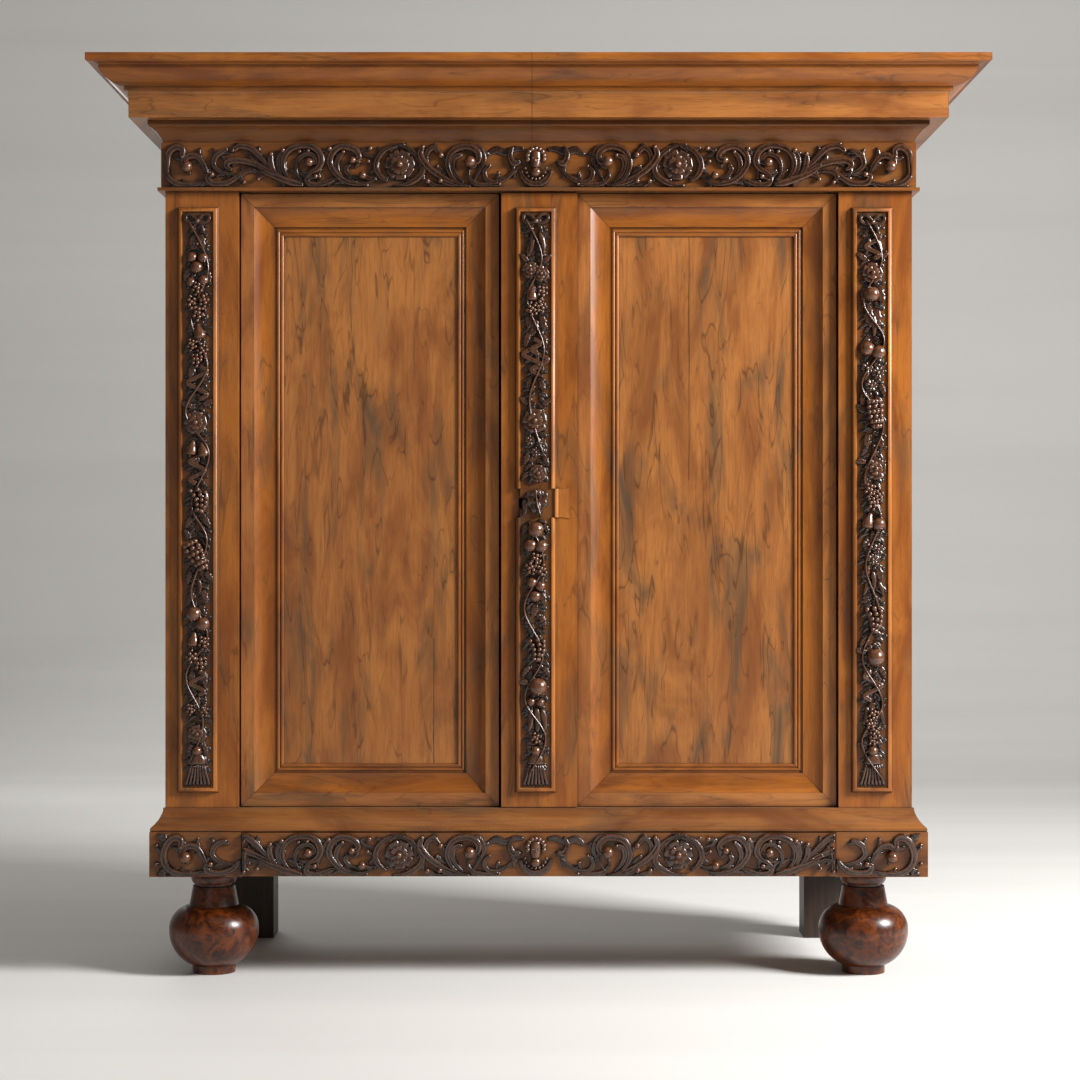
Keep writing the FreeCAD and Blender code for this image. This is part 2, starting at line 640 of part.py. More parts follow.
def make_side_frame(side, word):
    """A side of the case: two stiles, three rails tenoned into them and two panels in grooves."""
    across = mirrored(side, "Places.side_inner", "Places.case_half")
    front = "Places.pilaster_back"
    back = "Places.back"
    inner_front = f"{front} + Sizes.side_stile"
    inner_back = f"{back} - Sizes.side_stile"
    bottom = "Places.base_top"
    top = "Places.case_top"
    middle = f"({bottom} + {top}) / 2"
    tongue = "Sizes.panel_tongue / 2"
    centre = "(Places.side_inner + Places.case_half) / 2"
    groove_x = mirrored(side, f"{centre} - {tongue}", f"{centre} + {tongue}")
    tenon_front = f"{inner_front} - Sizes.tenon_length"
    tenon_back = f"{inner_back} + Sizes.tenon_length"
    rails = [
        ("bottom", bottom, f"{bottom} + Sizes.side_stile"),
        ("middle", f"{middle} - Sizes.side_stile / 2", f"{middle} + Sizes.side_stile / 2"),
        ("top", f"{top} - Sizes.side_stile", top),
    ]
    tenon_heights = [
        (f"{low} + Sizes.tenon_shoulder", f"{high} - Sizes.tenon_shoulder") for name, low, high in rails
    ]
    groove_height = (
        f"{bottom} + Sizes.side_stile - Sizes.groove_depth",
        f"{top} - Sizes.side_stile + Sizes.groove_depth",
    )
    front_cuts = [(groove_x, (f"{inner_front} - Sizes.groove_depth", inner_front), groove_height)]
    back_cuts = [(groove_x, (inner_back, f"{inner_back} + Sizes.groove_depth"), groove_height)]
    front_cuts += [(groove_x, (tenon_front, inner_front), span) for span in tenon_heights]
    back_cuts += [(groove_x, (inner_back, tenon_back), span) for span in tenon_heights]
    group(f"side_stiles_{word}", [
        timber(f"side_front_stile_{word}", across, (front, inner_front), (bottom, top), front_cuts),
        timber(f"side_back_stile_{word}", across, (inner_back, back), (bottom, top), back_cuts),
    ])
    rail_pieces = []
    run = (inner_front, inner_back)
    for (name, low, high), span in zip(rails, tenon_heights):
        grooves = []
        if name != "bottom":
            grooves.append((groove_x, run, (low, f"{low} + Sizes.groove_depth")))
        if name != "top":
            grooves.append((groove_x, run, (f"{high} - Sizes.groove_depth", high)))
        tenon = (groove_x, (tenon_front, tenon_back), span)
        rail_pieces.append(timber(f"side_{name}_rail_{word}", across, run, (low, high), grooves, [tenon]))
    group(f"side_rails_{word}", rail_pieces)
    panels = []
    reach = "(Sizes.groove_depth - Sizes.board_gap)"
    field_x = mirrored(side, f"{centre} - Sizes.side_panel / 2", f"{centre} + Sizes.side_panel / 2")
    for name, below, above in (("lower", rails[0], rails[1]), ("upper", rails[1], rails[2])):
        panels.append(timber(
            f"side_{name}_panel_{word}",
            groove_x,
            (f"{inner_front} - {reach}", f"{inner_back} + {reach}"),
            (f"{below[2]} - {reach}", f"{above[1]} + {reach}"),
            tenons=[(field_x, run, (below[2], above[1]))],
        ))
    group(f"side_panels_{word}", panels)


def raised_field(label, x, z, square_bottom=False, square_top=False):
    """A raised field with moulded edges, planted on a pilaster's face."""
    body = doc.addObject("PartDesign::Body", label)
    body.Label = label
    wedge = body.newObject("PartDesign::AdditiveWedge", "field")
    low = z[0] if square_bottom else f"{z[0]} + Sizes.field_edge"
    high = z[1] if square_top else f"{z[1]} - Sizes.field_edge"
    limits = [
        ("Xmin", f"{x[0]} + Sizes.field_edge"), ("Xmax", f"{x[1]} - Sizes.field_edge"),
        ("X2min", x[0]), ("X2max", x[1]),
        ("Ymin", "Places.field_face"), ("Ymax", "Places.face"),
        ("Zmin", low), ("Zmax", high),
        ("Z2min", z[0]), ("Z2max", z[1]),
    ]
    for name, place in limits:
        wedge.setExpression(name, place)
    return body


def make_pilasters():
    """The side pilasters, which are the corner posts of the case, and their raised fields."""
    for side, word in ((-1, "left"), (1, "right")):
        keep(timber(
            f"pilaster_{word}",
            mirrored(side, "Places.opening_half", "Places.case_half"),
            ("Places.face", "Places.pilaster_back"),
            ("Places.base_top", "Places.case_top"),
        ))
        middle = f"{side} * (Places.opening_half + Places.case_half) / 2 - Sizes.field_offset"
        x = (f"{middle} - Sizes.field_width / 2", f"{middle} + Sizes.field_width / 2")
        keep(raised_field(f"pilaster_field_{word}", x, ("Places.field_bottom", "Places.field_top")))


def make_inside():
    """Back boards, shelves and the cleats that carry them."""
    boards = []
    count = round(number("Sizes.back_board_count"))
    pitch = "(2 * Places.side_inner / Sizes.back_board_count)"
    for index in range(count):
        left = f"{index} * {pitch} - Places.side_inner"
        boards.append(timber(
            f"back_board_{index + 1}",
            (f"{left} + Sizes.board_gap / 2", f"{left} + {pitch} - Sizes.board_gap / 2"),
            ("Places.back_face", "Places.back"),
            ("Places.base_top", "Places.case_top"),
        ))
    group("back_boards", boards)
    depth = ("Places.face + Sizes.shelf_setback", "Places.back_face")
    cleats = []
    for name in ("lower", "upper"):
        underside = f"Sizes.{name}_shelf"
        keep(timber(
            f"{name}_shelf",
            ("Sizes.board_gap - Places.side_inner", "Places.side_inner - Sizes.board_gap"),
            depth,
            (underside, f"{underside} + Sizes.shelf_thickness"),
        ))
        for side, word in ((-1, "left"), (1, "right")):
            cleats.append(timber(
                f"{name}_cleat_{word}",
                mirrored(side, "Places.side_inner - Sizes.cleat_thickness", "Places.side_inner"),
                depth,
                (f"{underside} - Sizes.cleat_height", underside),
            ))
    group("shelf_cleats", cleats)


def make_head():
    """The head of the case: rail over the doors, plain boards, ceiling and the carved frieze."""
    rail_back = "Places.planting + Sizes.head_rail_width"
    rail_top = "Places.case_top + Sizes.head_rail_height"
    board_back = "Places.planting + Sizes.head_board"
    side_x = ("Places.head_inner", "Places.planting_half")
    full_height = ("Places.case_top", "Places.corona_top")
    upper = (rail_top, "Places.corona_top")
    plate_height = ("Places.case_top", "Places.case_top + Sizes.pivot_plate")
    hole_height = ("Places.case_top", "Places.case_top + Sizes.pivot_plate + Sizes.pivot_reach")
    bolt_height = ("Places.case_top", "Places.case_top + Sizes.slide_bolt_throw")
    keep(timber(
        "head_front_rail",
        ("-Places.planting_half", "Places.planting_half"),
        ("Places.planting", rail_back),
        ("Places.case_top", rail_top),
        cuts=[plate_recess(-1, plate_height), plate_recess(1, plate_height), slide_bolt_hole(bolt_height)],
        holes=[(PIVOT_HOLE, f"{side} * Places.pivot_x", "Places.pivot_y", hole_height) for side in (-1, 1)],
    ))
    boards = [
        timber("head_front_board", ("-Places.planting_half", "Places.planting_half"),
               ("Places.planting", board_back), upper),
        timber("head_back_board", ("-Places.head_inner", "Places.head_inner"),
               ("Places.back - Sizes.head_board", "Places.back"), full_height),
    ]
    for side, word in ((-1, "left"), (1, "right")):
        across = mirrored(side, *side_x)
        boards.append(timber(
            f"head_side_board_{word}", across, (rail_back, "Places.back"), full_height,
            tenons=[(across, (board_back, "Places.back"), upper)],
        ))
    group("head_boards", boards)
    keep(timber(
        "ceiling_boards",
        ("-Places.head_inner", "Places.head_inner"),
        (rail_back, "Places.back - Sizes.head_board"),
        ("Places.ceiling_bottom", "Places.ceiling_bottom + Sizes.ceiling_thickness"),
    ))
    frieze_half = "Places.case_half + Sizes.frieze_reach"
    frieze_face = "Places.face - Sizes.frieze_reach"
    frieze_height = ("Places.case_top", "Places.frieze_top")
    fillet_half = f"{frieze_half} + Sizes.frieze_fillet"
    fillet_height = ("Places.case_top", "Places.case_top + Sizes.frieze_fillet")
    fillet_y = (f"{frieze_face} - Sizes.frieze_fillet", "Places.planting")
    keep(timber(
        "frieze_front", (f"-({frieze_half})", frieze_half), (frieze_face, "Places.planting"), frieze_height,
        tenons=[((f"-({fillet_half})", fillet_half), fillet_y, fillet_height)],
    ))
    return_y = ("Places.planting", "Places.back")
    group("frieze_returns", [
        timber(f"frieze_return_{word}", mirrored(side, "Places.planting_half", frieze_half),
               return_y, frieze_height,
               tenons=[(mirrored(side, "Places.planting_half", fillet_half), return_y, fillet_height)])
        for side, word in ((-1, "left"), (1, "right"))
    ])


def make_cornice():
    """The bed moulding, the corona, the crown and the boards that keep the dust out."""
    planted = "(Sizes.frieze_thickness - Sizes.frieze_reach)"
    step = "Sizes.moulding_step"
    bed_fillet = "Sizes.bed_height - Sizes.bed_fillet"
    bed = [
        ("0", "0"),
        (f"-Sizes.bed_foot_reach - {planted}", "0"),
        (f"-Sizes.bed_foot_reach - {planted}", "Sizes.bed_foot"),
        (f"{step} - Sizes.bed_reach - {planted}", f"{bed_fillet} - {step}", -1.6),
        (f"-Sizes.bed_reach - {planted}", bed_fillet),
        (f"-Sizes.bed_reach - {planted}", "Sizes.bed_height"),
        ("0", "Sizes.bed_height"),
    ]
    mitred_surround("bed_moulding", bed, f"Sizes.bed_reach + {planted}", "Places.planting_half",
                    "Places.planting", "Places.frieze_top")
    crown_foot = f"-Sizes.crown_cove_reach - {planted}"
    corona = [
        ("0", "0"),
        (f"-Sizes.corona_reach - {planted}", "0"),
        (f"-Sizes.corona_reach - {planted}", "Sizes.corona_height - Sizes.corona_cove"),
        (crown_foot, "Sizes.corona_height", -0.75),
        ("0", "Sizes.corona_height"),
    ]
    mitred_surround("corona", corona, f"Sizes.crown_cove_reach + {planted}", "Places.planting_half",
                    "Places.planting", "Places.bed_top")
    setback = "(Sizes.crown_reach - Sizes.crown_width)"
    lip_bottom = "Sizes.crown_height - Sizes.crown_lip"
    bead = "Sizes.crown_bead_reach - Sizes.crown_width"
    crown = [
        ("0", "0"),
        (f"{setback} - Sizes.crown_cove_reach", "0"),
        (f"{setback} - Sizes.crown_cove_reach", "Sizes.crown_foot"),
        (bead, f"{lip_bottom} - {step} - Sizes.crown_quirk", 0.95),
        (bead, f"{lip_bottom} - {step}"),
        (f"{step} - Sizes.crown_width", lip_bottom, -0.8),
        ("-Sizes.crown_width", f"{lip_bottom} + {step}"),
        ("-Sizes.crown_width", "Sizes.crown_height"),
        ("0", "Sizes.crown_height"),
    ]
    crown_half = f"Places.case_half + {setback}"
    mitred_surround("crown", crown, "Sizes.crown_width", crown_half, f"Places.face - {setback}",
                    "Places.corona_top")
    keep(timber(
        "dust_boards",
        (f"-({crown_half})", crown_half),
        (f"Places.face - {setback}", "Places.back"),
        ("Places.corona_top", "Places.corona_top + Sizes.dust_thickness"),
    ))


def reached(edge, way, near, far):
    """The span between two distances from an edge, to the right (1) or to the left (-1) of it."""
    ends = (f"{edge} + {way} * ({near})", f"{edge} + {way} * ({far})")
    return ends if way > 0 else ends[::-1]


def make_door(word, side, outer, meeting, free_edge):
    """A framed door. outer is its hinge edge and free_edge its other edge. The meeting stile's
    mouldings are set out from meeting, which is the free edge or the edge of what covers it."""
    width = "Sizes.stile_width"
    depth = ("Places.door_face", "Places.door_back")
    height = ("Places.door_bottom", "Places.door_top")
    groove_front = "Places.door_face + Sizes.groove_setback"
    groove_y = (groove_front, f"{groove_front} + Sizes.panel_tongue")
    rebate_y = ("Places.door_face", "Places.door_face + Sizes.rebate_depth")
    low_edge = f"Places.door_bottom + {width}"
    high_edge = f"Places.door_top - {width}"
    tenon_heights = [
        ("Places.door_bottom + Sizes.tenon_shoulder", f"{low_edge} - Sizes.groove_depth"),
        (f"{high_edge} + Sizes.groove_depth", "Places.door_top - Sizes.tenon_shoulder"),
    ]
    band_height = ("Places.door_bottom + Sizes.band_width", "Places.door_top - Sizes.band_width")
    groove_height = (f"{low_edge} - Sizes.groove_depth", f"{high_edge} + Sizes.groove_depth")
    panel_edges = []
    stiles = []
    for name, edge, way, far_edge in (("hinge", outer, -side, outer), ("meeting", meeting, side, free_edge)):
        panel_edge = f"{edge} + {way} * {width}"
        panel_edges.append(panel_edge)
        cuts = [
            (reached(edge, way, "Sizes.band_width", width), rebate_y, band_height),
            (reached(edge, way, f"{width} - Sizes.groove_depth", width), groove_y, groove_height),
        ]
        mortise_x = reached(edge, way, f"{width} - Sizes.tenon_length", width)
        cuts += [(mortise_x, groove_y, span) for span in tenon_heights]
        blank = (panel_edge, far_edge) if way < 0 else (far_edge, panel_edge)
        holes = []
        if name == "hinge":
            pin_x = f"{side} * Places.pivot_x"
            bottom_seat = ("Places.door_bottom", "Places.door_bottom + Sizes.pivot_seat")
            top_seat = ("Places.door_top - Sizes.pivot_seat", "Places.door_top")
            seats = (bottom_seat, top_seat)
            holes = [("Sizes.pivot_radius", pin_x, "Places.pivot_y", seat) for seat in seats]
        elif word == "right":
            cuts.append(key_slot(depth))
        stiles.append(timber(f"{word}_door_{name}_stile", blank, depth, height, cuts, holes=holes))
    group(f"{word}_door_stiles", stiles)
    left, right = panel_edges if side < 0 else panel_edges[::-1]
    rails = []
    for name, z, span in (
        ("bottom", ("Places.door_bottom", low_edge), tenon_heights[0]),
        ("top", (high_edge, "Places.door_top"), tenon_heights[1]),
    ):
        if name == "bottom":
            rebate_z = (band_height[0], low_edge)
            groove_z = (groove_height[0], low_edge)
        else:
            rebate_z = (high_edge, band_height[1])
            groove_z = (high_edge, groove_height[1])
        tenon_x = (f"{left} - Sizes.tenon_length", f"{right} + Sizes.tenon_length")
        cuts = [((left, right), rebate_y, rebate_z), ((left, right), groove_y, groove_z)]
        tenon = (tenon_x, groove_y, span)
        rails.append(timber(f"{word}_door_{name}_rail", (left, right), depth, z, cuts, [tenon]))
    group(f"{word}_door_rails", rails)
    reach = "(Sizes.groove_depth - Sizes.board_gap)"
    proud = "(Sizes.panel_field - Sizes.panel_tongue) / 2"
    field_y = (f"{groove_y[0]} - {proud}", f"{groove_y[1]} + {proud}")
    keep(timber(
        f"{word}_door_panel",
        (f"{left} - {reach}", f"{right} + {reach}"),
        groove_y,
        (f"{low_edge} - {reach}", f"{high_edge} + {reach}"),
        tenons=[((left, right), field_y, (low_edge, high_edge))],
    ))
    make_door_moulding(word, left, right, band_height)
    make_door_pins(word, side)


def make_door_moulding(word, left, right, height):
    """Four mitred lengths of hollow with two beads, planted in the rebate round a panel."""
    reach = "Places.moulding_width"
    top = "Sizes.rebate_depth"
    foot = "Sizes.moulding_foot"
    beads = "2 * Sizes.moulding_bead"
    hollow = f"(Places.moulding_width - Sizes.moulding_quirk - {beads})"
    profile = [
        ("0", "0"),
        ("0", f"{top} - Sizes.moulding_drop"),
        (f"-{hollow}", "Sizes.moulding_arris", 1.6),
        (f"-{hollow}", foot),
        (f"-{hollow} - Sizes.moulding_quirk", foot),
        (f"Sizes.moulding_bead - {reach}", foot, -0.56),
        (f"-{reach}", foot, -0.6),
        (f"-{reach}", "0"),
    ]
    x_low = f"({left} - {reach})"
    x_high = f"({right} + {reach})"
    across = f"{x_high} - {x_low}"
    upright = f"({height[1]}) - ({height[0]})"
    floor = f"Places.door_face + {top}"
    axes = (FreeCAD.Vector(-1, 0, 0), FreeCAD.Vector(0, 0, -1), FreeCAD.Vector(0, -1, 0))
    turned = FreeCAD.Rotation(*axes, "XYZ")
    lengths = []
    for index, (name, run, x, z) in enumerate((
        ("bottom", across, x_high, height[0]),
        ("left", upright, x_low, height[0]),
        ("top", across, x_low, height[1]),
        ("right", upright, x_high, height[1]),
    )):
        quarter = FreeCAD.Rotation(FreeCAD.Vector(0, 1, 0), 90 * index)
        lengths.append(moulding(
            f"{word}_moulding_{name}", profile, run, reach, (-1, -1), (x, floor, z),
            quarter.multiply(turned)))
    group(f"{word}_door_moulding", lengths)


def make_door_pins(word, side):
    """The iron pins that a door turns on. The lower one stands on the floor of its hole."""
    pins = []
    x = f"{side} * Places.pivot_x"
    foot = "Places.base_top - Sizes.pivot_plate - Sizes.pivot_reach + Sizes.pivot_clearance"
    lows = (foot, "Places.door_bottom + Sizes.pivot_seat")
    highs = ("Places.door_top - Sizes.pivot_seat", "Places.case_top + Sizes.pivot_reach")
    for name, span in (("bottom", lows), ("top", highs)):
        body = doc.addObject("PartDesign::Body", f"{word}_{name}_pin")
        round_feature(body, "Additive", "pin", "Sizes.pivot_radius", x, "Places.pivot_y", span)
        pins.append(body)
    group(f"{word}_door_pins", pins)


def key_slot(depth):
    half_width = "Sizes.key_slot_width / 2"
    half_height = "Sizes.key_slot_height / 2"
    return (
        (f"Places.key_middle - {half_width}", f"Places.key_middle + {half_width}"),
        depth,
        (f"Sizes.cover_middle - {half_height}", f"Sizes.cover_middle + {half_height}"),
    )


def make_sockets():
    """Iron plates let into the rails, where the doors' pins turn."""
    plates = []
    hole = "Sizes.pivot_radius + Sizes.pivot_clearance"
    low = ("Places.base_top - Sizes.pivot_plate", "Places.base_top")
    high = ("Places.case_top", "Places.case_top + Sizes.pivot_plate")
    for side, word in ((-1, "left"), (1, "right")):
        for name, height in (("bottom", low), ("top", high)):
            plates.append(timber(
                f"{word}_{name}_socket", *plate_recess(side, height),
                holes=[(hole, f"{side} * Places.pivot_x", "Places.pivot_y", height)],
            ))
    group("pivot_sockets", plates)


def make_centre_pilaster():
    """The pilaster on the right door. A piece of its raised field slides aside over the keyhole."""
    gap = "Sizes.running_gap"
    lip = "Sizes.cover_tongue_depth / 2"
    middle = "Sizes.cover_middle"
    tongue_left = "(Places.cover_left + Sizes.notch_depth + Sizes.cover_tongue_start)"
    tongue_right = "(Places.cover_left + Sizes.field_width - Sizes.cover_tongue_end)"
    half = "(Sizes.cover_tongue / 2)"
    slot_x = (f"{tongue_left} - Sizes.cover_ajar - {gap}", f"{tongue_right} + Sizes.cover_travel + {gap}")
    slot_bottom = f"Places.face + Sizes.cover_tongue_depth + {gap}"
    neck_z = (f"{middle} - {half} - {gap}", f"{middle} + {half} + {gap}")
    lip_half = "(Sizes.cover_tongue / 2 + Sizes.cover_lip)"
    lip_z = (f"{middle} - {lip_half} - {gap}", f"{middle} + {lip_half} + {gap}")
    board_y = ("Places.face", "Places.door_face")
    keep(timber(
        "centre_pilaster",
        ("Places.pilaster_left", "Places.pilaster_right"),
        board_y,
        ("Places.door_bottom", "Places.door_top"),
        cuts=[
            key_slot(board_y),
            (slot_x, ("Places.face", slot_bottom), neck_z),
            (slot_x, (f"Places.face + {lip} - {gap}", slot_bottom), lip_z),
        ],
    ))
    field_x = ("Places.centre_field_left", "Places.centre_field_left + Sizes.field_width")
    group("centre_fields", [
        raised_field("centre_field_lower", field_x, ("Places.field_bottom", f"Places.cover_bottom - {gap}"),
                     square_top=True),
        raised_field("centre_field_upper", field_x, (f"Places.cover_top + {gap}", "Places.field_top"),
                     square_bottom=True),
    ])
    cover_x = ("Places.cover_left", "Places.cover_left + Sizes.field_width")
    cover = raised_field("keyhole_cover", cover_x, ("Places.cover_bottom", "Places.cover_top"), True, True)
    box_feature(cover, "Additive", "tongue", (tongue_left, tongue_right),
                ("Places.face", "Places.face + Sizes.cover_tongue_depth"),
                (f"{middle} - {half}", f"{middle} + {half}"))
    box_feature(cover, "Additive", "lip", (tongue_left, tongue_right),
                (f"Places.face + {lip}", "Places.face + Sizes.cover_tongue_depth"),
                (f"{middle} - {lip_half}", f"{middle} + {lip_half}"))
    box_feature(cover, "Subtractive", "notch", (f"{cover_x[0]} - {gap}", f"{cover_x[0]} + Sizes.notch_depth"),
                (f"Places.field_face - {gap}", "Places.face"),
                (f"{middle} - Sizes.notch_width / 2", f"{middle} + Sizes.notch_width / 2"))
    keep(cover)


def make_lock():
    """The iron rim lock behind the right door, with its bolt, and the irons of the left door."""
    gap = "Sizes.running_gap"
    lock_x = ("Places.lock_left", "Places.lock_left + Sizes.lock_width")
    lock_z = ("Places.lock_bottom", "Places.lock_bottom + Sizes.lock_height")
    bolt_y = (
        "Places.door_back + (Sizes.lock_thickness - Sizes.bolt_thickness) / 2",
        "Places.door_back + (Sizes.lock_thickness + Sizes.bolt_thickness) / 2",
    )
    bolt_z = ("Places.bolt_middle - Sizes.bolt_height / 2", "Places.bolt_middle + Sizes.bolt_height / 2")
    channel_y = (f"{bolt_y[0]} - {gap}", f"{bolt_y[1]} + {gap}")
    channel_z = (f"{bolt_z[0]} - {gap}", f"{bolt_z[1]} + {gap}")
    channel_x = ("Places.lock_left", f"Places.lock_left + Sizes.bolt_length + {gap}")
    key_x, key_y, key_z = key_slot(("Places.door_back", "Places.lock_back - Sizes.lock_wall"))
    keep(timber("lock_case", lock_x, ("Places.door_back", "Places.lock_back"), lock_z,
                cuts=[(channel_x, channel_y, channel_z), (key_x, key_y, key_z)]))
    keep(timber("lock_bolt", ("Places.lock_left", "Places.lock_left + Sizes.bolt_length"), bolt_y, bolt_z))
    keeper_x = ("Places.left_door_edge - Sizes.keeper_width", "Places.left_door_edge")
    keeper_z = (f"{bolt_z[0]} - 2 * Sizes.lock_wall", f"{bolt_z[1]} + 2 * Sizes.lock_wall")
    mouth_x = ("Places.left_door_edge - Sizes.bolt_throw", "Places.left_door_edge")
    irons = [timber("keeper", keeper_x, ("Places.door_back", "Places.lock_back"), keeper_z,
                    cuts=[(mouth_x, channel_y, channel_z)])]
    bolt_x = ("Places.slide_bolt_left", "Places.slide_bolt_left + Sizes.slide_bolt_width")
    wall = "Sizes.staple_wall"
    bolt_front = f"Places.door_back + {wall}"
    slide_y = (bolt_front, f"{bolt_front} + Sizes.slide_bolt_thickness")
    hole_x = (f"{bolt_x[0]} - {gap}", f"{bolt_x[1]} + {gap}")
    hole_y = (f"{slide_y[0]} - {gap}", f"{slide_y[1]} + {gap}")
    rest = "Sizes.slide_bolt_rest"
    length = "Sizes.slide_bolt_length"
    ends = {
        "bottom": (f"Places.door_bottom + {rest}", f"Places.door_bottom + {rest} + {length}"),
        "top": (f"Places.door_top - {rest} - {length}", f"Places.door_top - {rest}"),
    }
    for name, (low, high) in ends.items():
        middle = f"({low} + {high}) / 2"
        knob = "Sizes.slide_bolt_knob"
        bolt_centre = f"({bolt_x[0]} + {bolt_x[1]}) / 2"
        knob_x = (f"{bolt_centre} - {knob} / 2", f"{bolt_centre} + {knob} / 2")
        knob_z = (f"{middle} - {knob} / 2", f"{middle} + {knob} / 2")
        keep(timber(f"{name}_slide_bolt", bolt_x, slide_y, (low, high),
                    tenons=[(knob_x, (slide_y[0], f"{slide_y[1]} + {knob}"), knob_z)]))
        seats = {"low": f"({low} + Sizes.staple_inset)", "high": f"({high} - Sizes.staple_inset)"}
        for place, seat in seats.items():
            irons.append(timber(
                f"{name}_{place}_staple",
                (f"{bolt_x[0]} - {wall}", f"{bolt_x[1]} + {wall}"),
                ("Places.door_back", f"{slide_y[1]} + {wall}"),
                (f"{seat} - Sizes.slide_bolt_width / 2", f"{seat} + Sizes.slide_bolt_width / 2"),
                cuts=[(hole_x, hole_y, (f"{seat} - {length}", f"{seat} + {length}"))],
            ))
    group("left_door_irons", irons)


def check(pieces):
    """Stop if a feature failed or a piece isn't sound."""
    for item in doc.Objects:
        if "Invalid" in item.State or "Error" in item.State:
            raise RuntimeError(f"{item.Label} failed: {item.State}")
    for piece in pieces:
        if piece.Shape.isNull() or not piece.Shape.isValid() or not piece.Shape.Solids:
            raise RuntimeError(f"{piece.Label} is not a sound solid")


make_feet()
make_plinth()
make_drawer()
make_base()
make_side_frame(-1, "left")
make_side_frame(1, "right")
make_pilasters()
make_inside()
make_head()
make_cornice()
make_door("left", -1, "-Places.door_outer", "Places.left_door_edge", "Places.left_door_edge")
make_door("right", 1, "Places.door_outer", "Places.pilaster_right", "Places.pilaster_left")
make_sockets()
make_centre_pilaster()
make_lock()
doc.recompute()
check(parts)
os.makedirs("parts", exist_ok=True)
for piece in parts:
    piece.Shape.exportStep(f"parts/{piece.Label}.step")
    solids = len(piece.Shape.Solids)
    print(f"{piece.Label}: {solids} solid(s), {piece.Shape.Volume / 1000:.1f} cm3")
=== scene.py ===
import math
import random

import bmesh
import bpy
from mathutils import Matrix, Vector


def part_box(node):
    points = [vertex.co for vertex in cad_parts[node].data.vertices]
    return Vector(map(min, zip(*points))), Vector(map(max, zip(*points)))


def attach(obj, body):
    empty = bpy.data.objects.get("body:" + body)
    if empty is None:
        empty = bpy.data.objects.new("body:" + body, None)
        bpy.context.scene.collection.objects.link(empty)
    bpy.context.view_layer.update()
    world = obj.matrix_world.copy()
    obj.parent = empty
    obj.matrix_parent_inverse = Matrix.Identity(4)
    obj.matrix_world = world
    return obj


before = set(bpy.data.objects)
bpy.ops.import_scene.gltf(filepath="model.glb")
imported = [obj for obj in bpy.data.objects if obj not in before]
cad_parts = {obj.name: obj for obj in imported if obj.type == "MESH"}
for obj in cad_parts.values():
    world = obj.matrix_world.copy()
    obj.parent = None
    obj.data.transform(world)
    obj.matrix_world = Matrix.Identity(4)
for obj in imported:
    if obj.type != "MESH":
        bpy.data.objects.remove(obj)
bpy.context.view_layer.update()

bl_info = {
    "name": "Walnut cupboard",
    "version": (1, 0, 0),
    "blender": (4, 5, 0),
    "location": "3D View > Sidebar > Cupboard",
    "description": "Finishes and carving of a two-door walnut cupboard on ball feet",
    "category": "Object",
}


def edge(node, corner, axis):
    """A node's lowest (0) or highest (1) place along X, Y or Z."""
    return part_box(node)[corner]["XYZ".index(axis)]


def centre_x(node):
    """The middle of a node from left to right."""
    return (edge(node, 0, "X") + edge(node, 1, "X")) / 2


# Faces of the joinery that the carving is planted on, in metres.
CASE_FACE = edge("pilaster_left", 0, "Y")
FRIEZE_FILLET = 0.007
FRIEZE_FACE = edge("frieze_front", 0, "Y") + FRIEZE_FILLET
PLINTH_FACE = edge("drawer_front", 0, "Y")
FIELD_FACE = edge("pilaster_field_left", 0, "Y")
COVER_LOW = edge("keyhole_cover", 0, "Z")
COVER_HIGH = edge("keyhole_cover", 1, "Z")
MILLIMETRE = 0.001


def linear(hex_colour):
    """An sRGB hex colour as linear red, green, blue and alpha."""
    channels = [int(hex_colour[place:place + 2], 16) / 255 for place in (1, 3, 5)]
    return tuple(c / 12.92 if c <= 0.04045 else ((c + 0.055) / 1.055) ** 2.4 for c in channels) + (1.0,)


def wood_colour(name, description, hex_colour):
    """A colour that the user can change."""
    return bpy.props.FloatVectorProperty(name=name, description=description, subtype="COLOR", size=4, min=0, max=1,
                                         default=linear(hex_colour))


class CupboardFinish(bpy.types.PropertyGroup):
    """Colours of the woods, as they look under a coat of old wax."""

    wood_light: wood_colour("Walnut, light", "Early wood where the varnish is whole", "#a9621f")
    wood_middle: wood_colour("Walnut, middle", "Body colour where the varnish is whole", "#7b4013")
    # The paler pair below is a painted sheen: colours that stand in for the reflection of a bright room on flat
    # faces.
    sheen_light: wood_colour("Walnut under painted sheen, light", "Early wood of flat faces, paled by painted sheen", "#a7703f")
    sheen_middle: wood_colour("Walnut under painted sheen, middle", "Body colour of flat faces, paled by painted sheen", "#7a4a2a")
    wood_smoke: wood_colour("Walnut, smoke", "Smoky grey-brown figure", "#4a3d2c")
    wood_dark: wood_colour("Walnut, dark", "Veins and fibres", "#4a2812")
    # The dark wax colour also paints the shade in hollows and corners and at the foot of the carving.
    carving_dark: wood_colour("Old wax and painted shade", "Wax and dust in joints, and painted shade with wax in hollows and corners", "#120a06")
    carving_light: wood_colour("Carving, high spots", "Rubbed high spots of the carving", "#5a341c")


class CupboardCarving(bpy.types.PropertyGroup):
    """How the carving is cut and worn, and how far up its painted shade reaches."""

    # The carving is darker towards its ground up to these heights: painted shade with old wax in the hollows, rubbed
    # brown above.
    bands_shade_height: bpy.props.FloatProperty(
        name="Bands out of painted shade from", description="Height over the ground over which the bands' carving goes from painted shade to rubbed brown",
        unit="LENGTH", min=0.004, max=0.04, default=0.016)
    garlands_shade_height: bpy.props.FloatProperty(
        name="Garlands out of painted shade from", description="Height over the ground over which the garlands go from painted shade to rubbed brown",
        unit="LENGTH", min=0.004, max=0.04, default=0.0144)
    seed: bpy.props.IntProperty(
        name="Hand", description="Seed of the small unevenness of carving by hand", min=0, default=7)


